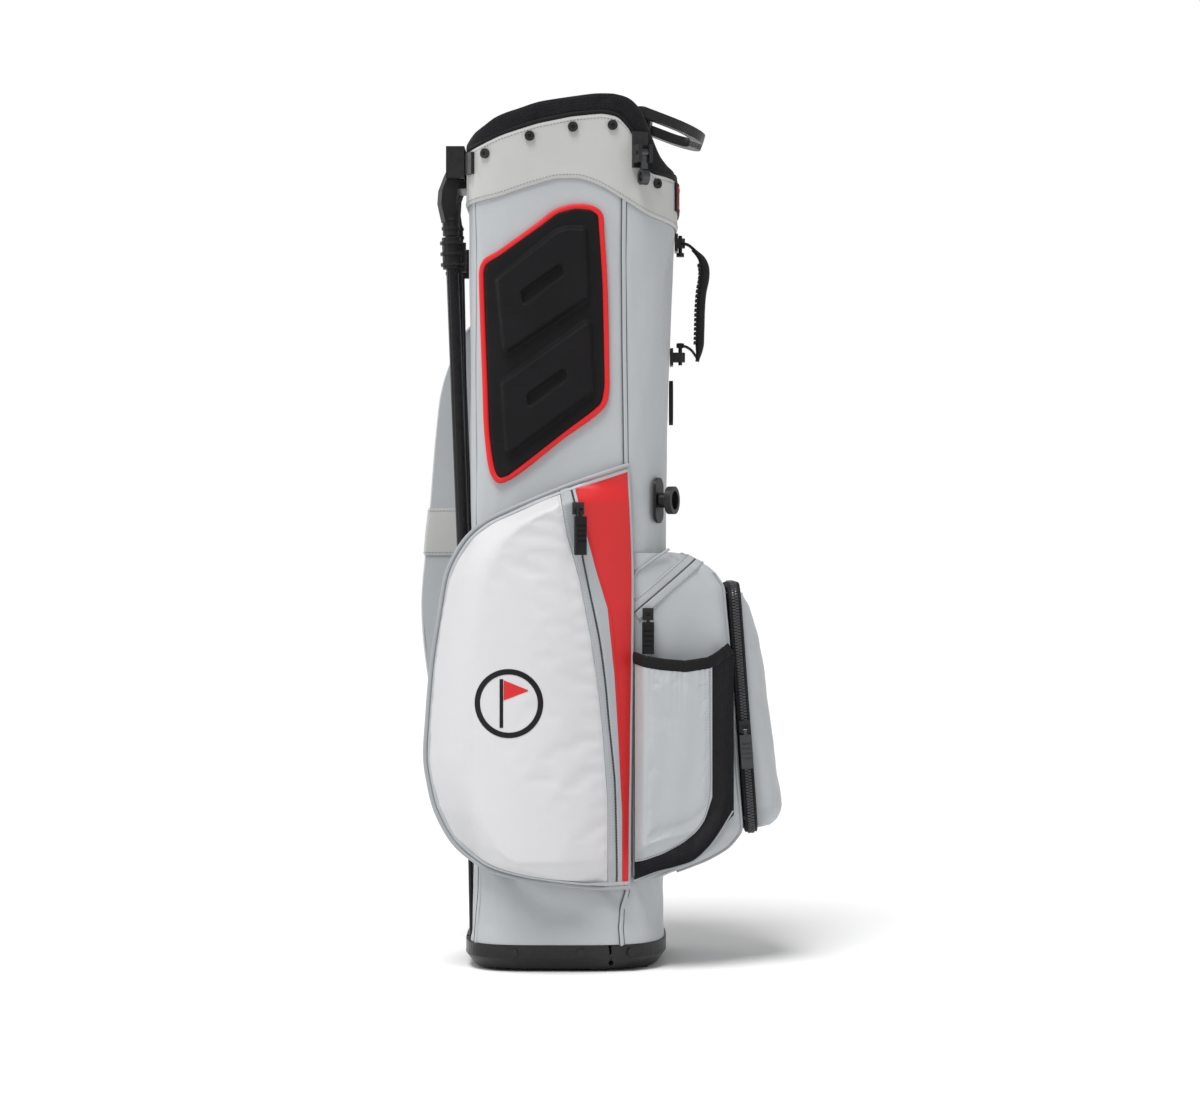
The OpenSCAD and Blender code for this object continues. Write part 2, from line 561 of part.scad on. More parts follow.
// Band that ties the legs, sewn to the long pocket
// Its path by distance from the pocket's back edge, width and outward direction: outside, edge, inside
STRAP_OUT = [[45, 90], [35, 90], [25, 95], [15, 100], [8, 108], [3, 122], [0, 140]];
function strap_path(z) = let(x0 = lookup(z, LONG_BACK), y0 = long_y(x0, z)) concat(
    [for (p = STRAP_OUT) [x0 + p.x, long_y(x0 + p.x, z), p.y]],
    [[x0, mix(y0, 85, 0.3), 180], [x0, mix(y0, 85, 0.7), 180], [x0, 85, 225], [x0 + 3, 85, 262]],
    [for (x = [8:8:40]) [x0 + x, 85, 270]]);
function strap_point(i, off, z) = let(p = strap_path(z)[i]) [p.x + off * cos(p.z), p.y + off * sin(p.z), z];
module leg_strap() color(LIGHT) loft([for (i = [0:len(STRAP_OUT) + 8])
    [strap_point(i, 4.2, 416), strap_point(i, 4.2, 467), strap_point(i, 1.8, 467), strap_point(i, 1.8, 416)]]);

// ---- Ball pocket at the front
BALL_FRONT = [[92, 90], [106, 138], [122, 165], [138, 178], [238, 171], [313, 165.5], [385, 160], [404, 146],
    [414, 126], [421, 112]];
ball_seam = 66;
function ball_side(x, z) = mix(body_y(ball_seam, z) + 1, 82, ramp((x - ball_seam) / 90));
ball_corner = 22;
function ball_loop(z) =
    let(xf = lookup(z, BALL_FRONT), r = min(ball_corner, (xf - ball_seam) / 3), yf = ball_side(xf, z))
    concat(
        [for (k = [8:-1:-8]) let(a = k * (spine_seam - 8) / 8, p = outline(a, z, 0.8)) [p.x, p.y, z]],
        [[mix(ball_seam, xf, 0.1), -ball_side(mix(ball_seam, xf, 0.1), z), z],
         [mix(ball_seam, xf, 0.4), -ball_side(mix(ball_seam, xf, 0.4), z), z]],
        [for (k = [0:6]) let(a = -90 + k * 15) [xf - r + r * cos(a), -yf + r + r * sin(a), z]],
        [for (k = [0:6]) let(a = k * 15) [xf - r + r * cos(a), yf - r + r * sin(a), z]],
        [[mix(ball_seam, xf, 0.4), ball_side(mix(ball_seam, xf, 0.4), z), z],
         [mix(ball_seam, xf, 0.1), ball_side(mix(ball_seam, xf, 0.1), z), z]]);
module ball_pocket() color(LIGHT) loft([for (i = [0:22]) ball_loop(mix(92, 419, i / 22))]);

// Zip that frames the removable front panel, and the panel
zip_tilt = 4.2;
zip_base = [176.5, 262];
module panel_shape(wide, tall, r) {
    square([tall, 2 * (wide - r)], center = true);
    square([tall - 2 * r, 2 * wide], center = true);
    for (u = [-1, 1], v = [-1, 1]) translate([u * (tall / 2 - r), v * (wide - r)]) circle(r = r);
}
module on_front() translate([zip_base.x, 0, zip_base.y]) rotate([0, 90 - zip_tilt, 0]) children();
module panel_zip() color(BLACK) on_front() linear_extrude(13, center = true) difference() {
    panel_shape(72, 256, 24);
    panel_shape(62, 236, 15);
}
FRONT_PANEL = [[139, 205], [145, 216], [160, 219], [188, 213], [243, 205], [293, 200], [333, 193], [370, 182]];
function panel_half(z) = 60.5 - 10 * (1 - ramp((z - 142) / 20)) - 10 * ramp((z - 350) / 26);
function panel_back(z) = zip_base.x + (zip_base.y - z) * tan(zip_tilt) - 6;
function panel_loop(z, steps) = let(w = panel_half(z), x0 = panel_back(z), x1 = lookup(z, FRONT_PANEL)) concat(
    [[x0, w, z], [x0, -w, z]],
    [for (k = [0:steps]) let(a = mix(-90, 90, k / steps))
        [x0 + 5 + (x1 - x0 - 5) * pow(abs(cos(a)), 0.5), w * sgn(a) * pow(abs(sin(a)), 0.8), z]]);
module front_panel() color(LIGHT) loft([for (i = [0:16]) panel_loop(mix(147, 376, i / 16), 14)]);

panel_zip_z = 244;
module at_panel_zip() translate([zip_base.x + (zip_base.y - panel_zip_z) * tan(zip_tilt), -73.5, panel_zip_z])
    rotate([0, -zip_tilt, 0]) children();
module panel_zip_slider() color(BLACK) at_panel_zip() slider();
module panel_zip_pull() color(STEEL) at_panel_zip() pull_tab(34);

// Slanted zip on the near side of the ball pocket
ball_zip = [80, 358];
module at_ball_zip() translate([ball_zip.x, -ball_side(ball_zip.x, ball_zip.y) - 3, ball_zip.y]) children();
module ball_zip_slider() color(BLACK) at_ball_zip() slider();
module ball_zip_pull() color(BLACK) at_ball_zip() pull_tab(32);

// Open sleeve on the near side of the ball pocket
SLEEVE_LOW = [[66, 92], [87, 100], [126, 110], [151, 136], [166, 160]];
sleeve_top = 306;
sleeve_wall = 2.4;
function sleeve_y(x, z) = ball_side(x, z) + 1 + sleeve_gap * ramp((x - 62) / 16) * (1 - ramp((x - 138) / 30))
    * ramp((z - lookup(x, SLEEVE_LOW)) / 34);
SLEEVE_XS = [for (i = [0:12]) mix(67, 166, i / 12)];
function sleeve_loop(x, rows) = let(low = lookup(x, SLEEVE_LOW)) concat(
    [for (k = [0:rows]) let(z = mix(sleeve_top, low, k / rows)) [x, -sleeve_y(x, z) - sleeve_wall, z]],
    [for (k = [0:rows]) let(z = mix(low, sleeve_top, k / rows)) [x, -sleeve_y(x, z), z]]);
module bottle_sleeve() color(LIGHT) loft([for (x = SLEEVE_XS) sleeve_loop(x, 10)]);
module sleeve_binding() color(BLACK) loft([for (x = SLEEVE_XS)
    [for (p = [[3.4, 316], [3.4, sleeve_top + lap], [-0.6, sleeve_top + lap], [-0.6, 316]])
        [x, -sleeve_y(x, sleeve_top) - p.x, p.y]]]);

// ---- Lower strap clip: a plate, a swivel and a ring
clip_turn = -22;
module at_clip() translate([89.5, -76, 472]) rotate([0, 0, clip_turn]) children();
module strap_clip() color(BLACK) at_clip() rotate([0, 90, 0]) {
    translate([-12, -11, 0]) cube([24, 22, 3]);
    for (side = [-1, 1]) translate([side * 12, 0, 0]) cylinder(r = 11, h = 3);
    cylinder(r = 4, h = 12);
}
ring_r = 9.5;
module strap_ring() color(BLACK) at_clip() rotate([0, 90, 0]) difference() {
    union() {
        translate([0, 0, 4]) cylinder(r = 7.5, h = 10);
        translate([0, 0, 12.4]) cylinder(r = 14, h = 7);
    }
    translate([0, 0, 3]) cylinder(r = 4.06, h = 9.4);
    translate([0, 0, 14.4]) cylinder(r = ring_r, h = 10);
}

cuff_frame();
divider_top();
divider_panels();
collar_pad();
cuff_band();
cuff_screws();
cuff_patch();
lift_handle();
strap_hook_bracket();
strap_hook_loop();
spine_panel();
side_panel_near();
side_panel_far();
back_panel();
body_skirt();
body_stays();
hip_pad();
hip_pad_piping();
spine_patch();
spine_anchors();
spine_grip();
base_front();
base_flap();
base_hinge_pin();
base_screws_front();
base_screws_flap();
leg_bracket();
leg_bracket_wings();
leg_hinge_pins();
leg_springs();
leg_head_near();
leg_tube_near();
leg_collar_near();
leg_foot_near();
leg_head_far();
leg_tube_far();
leg_collar_far();
leg_foot_far();
push_rod_near();
push_rod_far();
side_pocket();
side_zip_tape();
side_accent();
side_zip_slider();
side_zip_pull();
long_pocket();
leg_strap();
long_zip_slider();
long_zip_pull();
ball_pocket();
ball_zip_slider();
ball_zip_pull();
bottle_sleeve();
sleeve_binding();
panel_zip();
panel_zip_slider();
panel_zip_pull();
front_panel();
strap_clip();
strap_ring();
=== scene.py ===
import math

import bmesh
import bpy
import numpy as np
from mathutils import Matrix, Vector


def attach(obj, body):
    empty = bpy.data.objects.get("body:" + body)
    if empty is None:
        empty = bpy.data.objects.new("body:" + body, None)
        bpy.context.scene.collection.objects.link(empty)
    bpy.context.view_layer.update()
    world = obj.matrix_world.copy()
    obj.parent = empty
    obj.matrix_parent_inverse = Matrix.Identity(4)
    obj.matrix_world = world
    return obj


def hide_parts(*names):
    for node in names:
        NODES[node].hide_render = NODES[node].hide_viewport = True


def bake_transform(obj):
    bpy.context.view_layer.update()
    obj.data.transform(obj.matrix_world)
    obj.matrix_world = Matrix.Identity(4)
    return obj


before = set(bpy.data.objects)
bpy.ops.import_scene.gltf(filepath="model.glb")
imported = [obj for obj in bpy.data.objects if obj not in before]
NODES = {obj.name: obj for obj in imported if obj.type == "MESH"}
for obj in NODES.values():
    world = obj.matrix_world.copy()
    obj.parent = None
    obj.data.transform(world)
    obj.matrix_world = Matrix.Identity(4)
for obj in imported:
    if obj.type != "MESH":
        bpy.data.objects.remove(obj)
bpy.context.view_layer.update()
MM = 0.001

# ---------------------------------------------------------------- design (mm)
HALF_WIDTH, REAR_HALF, SQUARE, REAR_SQUARE = 105.0, 103.0, 3.2, 4.2
FRONT_HALF = [(28, 98), (480, 101), (627, 104), (745, 109), (900, 109)]
CHANNEL = [(28, 10), (100, 21.5), (160, 21.5), (200, 17), (300, 12), (445, 6.5), (600, 2), (700, 1)]
COLLAR_TOP = [(-106, 829), (-97, 842), (-72, 858), (-30, 870), (29, 878), (50, 878), (64, 874),
              (76, 862), (84, 838), (92, 816), (104, 808), (112, 804)]
BAND_TOP = [(-106, 822), (-89, 827), (-65, 837), (-30, 848), (4, 855), (34, 858), (50, 855),
            (64, 839), (72, 815), (80, 800), (112, 797)]
BAND_LOW = [(-106, 769), (-69, 775), (-39, 785), (-12, 793), (13, 793), (32, 786), (52, 774),
            (80, 757), (103, 751), (112, 749)]
SKIRT_TOP, RIM_TOP = 110.4, 27.4
BODY_CLOTH = 1.6  # thickness of the body's fabric
DEGREE = 1.85  # length of one degree of the body's outline, about
MID_Z, CUFF_Z = 400.0, 800.0  # heights at which angles are laid out
# Angle of the seam lines by height: spine to side panel, side to back panel
SPINE_SEAM = [(27, 67.3), (45, 68), (84, 62.9), (130, 63), (480, 65), (600, 67.5), (745, 69.8), (870, 70)]
BACK_SEAM = [(27, 143.8), (110, 136.6), (200, 146), (870, 147)]
SIDE_BACK = [(87, 10), (88.5, 0), (94, -42), (106, -84), (126, -112), (160, -132), (191, -140), (214, -143),
             (254, -141), (312, -136), (357, -129), (397, -122), (414, -115), (435, -101), (451, -81),
             (462, -58), (474, -30), (483, -8)]
SIDE_PANEL = [(84, 40), (174, 40), (242, 35), (282, 31), (338, 23), (394, 12), (436, 0), (483, -8)]
SIDE_TAPE = [(84, 54), (160, 54), (239, 50), (296, 46.5), (364, 39.5), (402, 28), (444, 17), (484, 7)]
SIDE_SEAM = [(84, 61), (189, 62), (332, 64), (412, 64), (462, 62), (506, 60)]
SIDE_DEPTH, LONG_DEPTH, SLEEVE_GAP = 43.0, 46.0, 22.0
LONG_BACK = [(94, -60), (110, -90), (150, -122), (286, -150), (361, -157), (416, -153), (466, -148),
             (540, -142), (590, -136), (620, -127), (645, -116), (662, -100)]
LONG_FRONT = 40.0
BALL_FRONT = [(92, 90), (106, 138), (122, 165), (138, 178), (238, 171), (313, 165.5), (385, 160),
              (404, 146), (414, 126), (421, 112)]
BALL_SEAM, BALL_CORNER = 66.0, 22.0
FRONT_PANEL = [(139, 205), (145, 216), (160, 219), (188, 213), (243, 205), (293, 200), (333, 193), (370, 182)]
ZIP_TILT, ZIP_X, ZIP_Z = 4.2, 176.5, 262.0
SLEEVE_LOW = [(66, 92), (87, 100), (126, 110), (151, 136), (166, 160)]
PAD_TOP = [(-88, 701), (-84, 712), (-69, 721), (-31, 748), (-12, 762), (7, 767), (25, 765), (34, 758),
           (36, 738), (39, 690), (41, 600)]
PAD_LOW = [(-88, 690), (-85, 600), (-82, 531), (-76, 497), (-69, 489), (-58, 492), (-7, 531), (37, 566),
           (41, 585)]


# ---------------------------------------------------------------- numbers
def lookup(v, table):
    t = np.array(sorted(table), float)
    return np.interp(v, t[:, 0], t[:, 1])


def eased(v, table, width):
    """A table's value averaged over width on each side, so that its corners are rounded."""
    shares = np.linspace(-1, 1, 9)
    weights = 1 - 0.8 * np.abs(shares)
    return sum(w * lookup(v + s * width, table) for s, w in zip(shares, weights)) / weights.sum()


def ramp(v):
    t = np.clip(v, 0, 1)
    return t * t * (3 - 2 * t)


def mix(a, b, t):
    return a + (b - a) * t


def unit(v):
    """Vectors along the last axis, scaled to length 1."""
    return v / np.linalg.norm(v, axis=-1, keepdims=True)


def spow(v, e):
    return np.sign(v) * np.abs(v) ** e


def stack(x, y, z):
    x, y, z = np.broadcast_arrays(np.asarray(x, float), y, z)
    return np.stack([x, y, z], -1)


def ripple(u, v, seed, long_u, long_v):
    """Smooth waves between -1 and 1, about long_u by long_v apart."""
    rng = np.random.RandomState(seed)
    total = 0
    for _ in range(7):
        k, m, p = rng.uniform(0.5, 1.6), rng.uniform(-1.5, 1.5), rng.uniform(0, 6.3)
        total = total + np.sin(6.283 * (k * u / long_u + m * v / long_v) + p)
    return np.clip(total / 4.0, -1, 1)


def outline(a, z, off=0.0):
    c, s = np.cos(np.radians(a)), np.sin(np.radians(a))
    hx = np.where(c > 0, lookup(z, FRONT_HALF), REAR_HALF) + off
    e = 2 / np.where(c > 0, SQUARE, REAR_SQUARE)
    x = spow(c, e) * hx
    y = spow(s, e) * (HALF_WIDTH + off)
    dent = np.where(c < 0, lookup(z, CHANNEL) / (1 + (np.abs(y) / 54) ** 14), 0)
    return x + dent, y


def skin(a, z, off=0.0):
    x, y = outline(a, z, off)
    return stack(x, y, z)


def body_y(x, z, off=0.0):
    hx = np.where(np.asarray(x) > 0, lookup(z, FRONT_HALF), REAR_HALF) + off
    u = np.minimum(1, np.abs(x) / hx)
    n = np.where(np.asarray(x) > 0, SQUARE, REAR_SQUARE)
    return (HALF_WIDTH + off) * (1 - u**n) ** (1 / n)


def soft_floor(v, low, width=9.0):
    """The larger of v and low, with the corner between them rounded."""
    return low + 0.5 * (v - low + np.sqrt((v - low) ** 2 + width**2)) - 0.1 * width


def side_y(x, z):
    seam, back = eased(z, SIDE_SEAM, 12), eased(z, SIDE_BACK, 5)
    front = 0.12 + 0.88 * (1 - soft_floor(1 - np.maximum(0, (seam - x) / 70), 0.0, 0.16))
    rear = 0.35 + 0.65 * ramp((x - back) / 46)
    ends = 0.5 + 0.5 * ramp(np.minimum((z - 86) / 30, (490 - z) / 22))
    return soft_floor(body_y(x, z), 82.0) + SIDE_DEPTH * front * rear * ends


def long_y(x, z):
    back = lookup(z, LONG_BACK)
    front = 0.12 + 0.88 * ramp((LONG_FRONT - x) / 45)
    rear = 0.4 + 0.6 * ramp((x - back) / 45)
    ends = 0.25 + 0.75 * ramp(np.minimum((z - 92) / 30, (666 - z) / 40))
    return soft_floor(body_y(x, z), 85.0) + LONG_DEPTH * front * rear * ends


def ball_side(x, z):
    return mix(body_y(BALL_SEAM, z) + 1, 82, ramp((x - BALL_SEAM) / 90))


def sleeve_y(x, z):
    reach = ramp((x - 62) / 16) * (1 - ramp((x - 138) / 30)) * ramp((z - lookup(x, SLEEVE_LOW)) / 34)
    return ball_side(x, z) + 1 + SLEEVE_GAP * reach


def arc_angles(a0, a1, count, z=MID_Z):
    """Angles between a0 and a1 that lie evenly along the body's outline."""
    dense = np.linspace(a0, a1, 1500)
    x, y = outline(dense, z)
    run = np.concatenate([[0], np.cumsum(np.hypot(np.diff(x), np.diff(y)))])
    return np.interp(np.linspace(0, run[-1], count), run, dense)


def body_fold(a, z):
    """Inward depth of the soft folds in the body fabric."""
    u = a * DEGREE
    soft = 0.5 + 0.5 * ripple(u, z, 3, 70, 260)
    fine = 0.5 + 0.5 * ripple(u, z, 11, 30, 110)
    fade = ramp((lookup(outline(a, z)[0], BAND_LOW) + 10 - z) / 60)
    low = 1 - ramp((z - 100) / 120)
    drape = 0.5 + 0.5 * ripple(u + 0.9 * z, z, 5, 62, 300)
    hold = ramp((z - 26) / 26)
    return fade * hold * (1.1 * soft + 0.5 * fine + low * (3.2 * drape**2))


def spline(points, step=2.0, closed=False):
    """Evenly spaced points on a smooth curve through the given ones."""
    p = np.array(points, float)
    n = len(p)
    spans = n if closed else n - 1
    out = []
    for i in range(spans):
        if closed:
            a, b, c, d = p[(i - 1) % n], p[i], p[(i + 1) % n], p[(i + 2) % n]
        else:
            a, b, c, d = p[max(i - 1, 0)], p[i], p[i + 1], p[min(i + 2, n - 1)]
        count = max(3, int(np.linalg.norm(c - b) / step * 2))
        t = np.linspace(0, 1, count, endpoint=False)[:, None]
        ab, bc, cd = (max(1e-6, np.linalg.norm(q - r) ** 0.5) for q, r in ((b, a), (c, b), (d, c)))
        m1 = (c - b) + bc * ((b - a) / ab - (c - a) / (ab + bc)) if np.any(b != a) else (c - b)
        m2 = (c - b) + bc * ((d - c) / cd - (d - b) / (bc + cd)) if np.any(d != c) else (c - b)
        out.append((2 * t**3 - 3 * t**2 + 1) * b + (t**3 - 2 * t**2 + t) * m1
                   + (-2 * t**3 + 3 * t**2) * c + (t**3 - t**2) * m2)
    out = np.concatenate(out + [p[:1] if closed else p[-1:]])
    return resample(out, step)[:-1] if closed else resample(out, step)


def resample(path, step):
    run = np.concatenate([[0], np.cumsum(np.linalg.norm(np.diff(path, axis=0), axis=1))])
    count = max(2, int(round(run[-1] / step)) + 1)
    at = np.linspace(0, run[-1], count)
    return np.stack([np.interp(at, run, path[:, k]) for k in range(path.shape[1])], -1)


def lay(fn, xz, lift=0.0, side=-1):
    """Points and outward normals of the surface y = side * fn(x, z) along a path of (x, z)."""
    x, z = xz[..., 0], xz[..., 1]
    gx = (fn(x + 0.5, z) - fn(x - 0.5, z))
    gz = (fn(x, z + 0.5) - fn(x, z - 0.5))
    normal = stack(-gx, side * np.ones_like(x), -gz)
    normal = unit(normal)
    return stack(x, side * fn(x, z), z) + normal * lift, normal


def inset2d(path, d, closed=True):
    """Path of (x, z) moved d to its left-hand side."""
    t = np.roll(path, -1, 0) - np.roll(path, 1, 0) if closed else np.gradient(path, axis=0)
    t = unit(t)
    return path + np.stack([-t[:, 1], t[:, 0]], -1) * d


# ---------------------------------------------------------------- meshes
def build(name, points, faces, uvs=None, sharp=40, recalc=True):
    mesh = bpy.data.meshes.new(name)
    mesh.from_pydata((np.asarray(points, float) * MM).tolist(), [], [list(map(int, f)) for f in faces])
    if uvs is not None:
        layer = mesh.uv_layers.new(name="uv")
        layer.data.foreach_set("uv", (np.asarray(uvs, float) * MM).astype(np.float32).ravel())
    if recalc:
        bm = bmesh.new()
        bm.from_mesh(mesh)
        bmesh.ops.recalc_face_normals(bm, faces=bm.faces)
        bm.to_mesh(mesh)
        bm.free()
    mesh.shade_smooth()
    mesh.set_sharp_from_angle(angle=math.radians(sharp))
    obj = bpy.data.objects.new(name, mesh)
    bpy.context.scene.collection.objects.link(obj)
    return obj


def run_length(grid, axis):
    d = np.linalg.norm(np.diff(grid, axis=axis), axis=-1)
    zero = np.zeros_like(np.take(d, [0], axis=axis))
    return np.concatenate([zero, np.cumsum(d, axis=axis)], axis=axis)


def grid_quads(n, m, wrap):
    i, j = np.meshgrid(np.arange(n - 1), np.arange(m if wrap else m - 1), indexing="ij")
    i, j = i.ravel(), j.ravel()
    k = (j + 1) % m
    vert = np.stack([i * m + j, i * m + k, (i + 1) * m + k, (i + 1) * m + j], -1)
    w = m + 1 if wrap else m
    tex = np.stack([i * w + j, i * w + j + 1, (i + 1) * w + j + 1, (i + 1) * w + j], -1)
    return vert, tex


def grid_uv(grid, wrap):
    full = np.concatenate([grid, grid[:, :1]], axis=1) if wrap else grid
    return np.stack([run_length(full, 1), run_length(full, 0)], -1).reshape(-1, 2)


def slab(name, outer, inner, wrap=False, sharp=50):
    """Closed sheet between two grids of points; wrap joins the last column to the first."""
    n, m = outer.shape[:2]
    vert, tex = grid_quads(n, m, wrap)
    uv = grid_uv(outer, wrap)
    faces = [*vert, *(vert[:, ::-1] + n * m)]
    uvs = [uv[tex].reshape(-1, 2), uv[tex[:, ::-1]].reshape(-1, 2)]
    ring = ([(0, j) for j in range(m)], [(n - 1, j) for j in range(m)])
    edges = [list(zip(r, (r[1:] + r[:1]) if wrap else r[1:])) for r in ring]
    if not wrap:
        edges += [[((i, c), (i + 1, c)) for i in range(n - 1)] for c in (0, m - 1)]
    w = m + 1 if wrap else m
    for chain in edges:
        for p, q in chain:
            a, b = p[0] * m + p[1], q[0] * m + q[1]
            faces.append([a, b, b + n * m, a + n * m])
            ua, ub = uv[p[0] * w + p[1]], uv[q[0] * w + q[1]]
            uvs.append(np.array([ua, ub, ub + 1, ua + 1]))
    points = np.concatenate([outer.reshape(-1, 3), inner.reshape(-1, 3)])
    return build(name, points, faces, np.concatenate(uvs), sharp)


def normals_of(grid, wrap=False):
    if wrap:
        full = np.concatenate([grid[:, -1:], grid, grid[:, :1]], axis=1)
        du = np.gradient(full, axis=1)[:, 1:-1]
    else:
        du = np.gradient(grid, axis=1)
    n = np.cross(du, np.gradient(grid, axis=0))
    return n / np.maximum(1e-9, np.linalg.norm(n, axis=-1, keepdims=True))


def facing(n, towards):
    """Normals n, all turned round if they point away from towards on average."""
    return -n if np.mean(np.sum(n * towards, -1)) < 0 else n


def frames(path, normal, closed=False):
    t = np.roll(path, -1, 0) - np.roll(path, 1, 0) if closed else np.gradient(path, axis=0)
    t /= np.maximum(1e-9, np.linalg.norm(t, axis=1, keepdims=True))
    b = np.cross(t, normal)
    b /= np.maximum(1e-9, np.linalg.norm(b, axis=1, keepdims=True))
    return t, b, np.cross(b, t)


def round_profile(wide, high, count=10, square=2.0, low=None):
    """Closed section wide across and high along the normal, centred on the path."""
    a = np.arange(count) * 2 * math.pi / count
    b, h = spow(np.cos(a), 2 / square) * wide / 2, spow(np.sin(a), 2 / square) * high / 2
    return np.stack([b, h if low is None else np.maximum(h, low)], -1)


def sweep(name, path, normal, profile, closed=False, scale=None, sharp=45):
    """A section carried along a path. scale gives its size by point, one number or two."""
    _, b, n = frames(path, normal, closed)
    prof = np.asarray(profile, float)
    size = np.ones((len(path), 2)) if scale is None else np.asarray(scale, float).reshape(len(path), -1)
    if size.shape[1] == 1:
        size = np.repeat(size, 2, 1)
    grid = (path[:, None] + b[:, None] * (prof[None, :, 0] * size[:, None, 0])[..., None]
            + n[:, None] * (prof[None, :, 1] * size[:, None, 1])[..., None])
    k = len(prof)
    rows = np.concatenate([grid, grid[:1]]) if closed else grid
    vert, tex = grid_quads(len(rows), k, True)
    full = np.concatenate([rows, rows[:, :1]], axis=1)
    along = run_length(rows.mean(1), 0)
    around = run_length(full, 1)
    uv = np.stack([np.repeat(along[:, None], k + 1, 1), around], -1).reshape(-1, 2)
    if closed:
        vert = vert % (len(grid) * k)
    faces, uvs = list(vert), [uv[tex].reshape(-1, 2)]
    if not closed:
        for r, order in ((0, range(k - 1, -1, -1)), (len(grid) - 1, range(k))):
            faces.append([r * k + j for j in order])
            uvs.append(np.array([uv[r * (k + 1) + j] for j in order]))
    return build(name, grid.reshape(-1, 3), faces, np.concatenate(uvs), sharp)


def scatter(name, template, quads, at, t, b, n, sharp=45):
    """One small solid repeated at each point, turned to its frame."""
    tpl = np.asarray(template, float)
    pts = (at[:, None] + t[:, None] * tpl[None, :, :1] + b[:, None] * tpl[None, :, 1:2]
           + n[:, None] * tpl[None, :, 2:3])
    faces = []
    for i in range(len(at)):
        faces += [[v + i * len(tpl) for v in q] for q in quads]
    return build(name, pts.reshape(-1, 3), faces, None, sharp)


def capsule(long, wide, high, sides=6):
    ends = [(-0.5, 0.0), (-0.36, 0.8), (0, 1.0), (0.36, 0.8), (0.5, 0.0)]
    pts, quads = [(-long / 2, 0, 0)], []
    for s, r in ends[1:-1]:
        for k in range(sides):
            a = k * 2 * math.pi / sides
            pts.append((s * long, r * wide / 2 * math.cos(a), r * high / 2 * math.sin(a)))
    pts.append((long / 2, 0, 0))
    for k in range(sides):
        j = (k + 1) % sides
        quads.append((0, 1 + j, 1 + k))
        for row in range(2):
            o = 1 + row * sides
            quads.append((o + k, o + j, o + sides + j, o + sides + k))
        quads.append((1 + 2 * sides + k, 1 + 2 * sides + j, len(pts) - 1))
    return pts, quads


def block(long, wide, high, cut=0.25):
    """Small block with chamfered ends, standing on the path."""
    pts, quads = [], []
    for s in (-1, 1):
        for w, h in ((-1, 0), (1, 0), (1, 1 - cut), (1 - cut, 1), (cut - 1, 1), (-1, 1 - cut)):
            pts.append((s * long / 2, w * wide / 2, h * high))
    for k in range(6):
        j = (k + 1) % 6
        quads.append((k, j, 6 + j, 6 + k))
    quads += [tuple(range(5, -1, -1)), tuple(range(6, 12))]
    return pts, quads


def stitches(name, path, normal, closed=False, pitch=3.6, long=2.7, wide=0.75, lift=0.12):
    step = np.concatenate([path, path[:1]]) if closed else path
    norm = np.concatenate([normal, normal[:1]]) if closed else normal
    both = resample(np.concatenate([step, norm * 1e-6], axis=1), pitch)
    at, n = both[:, :3], both[:, 3:]
    n /= np.maximum(1e-12, np.linalg.norm(n, axis=1, keepdims=True))
    t, b, n = frames(at, n)
    return scatter(name, *capsule(long, wide, 0.7), at + n * lift, t, b, n)


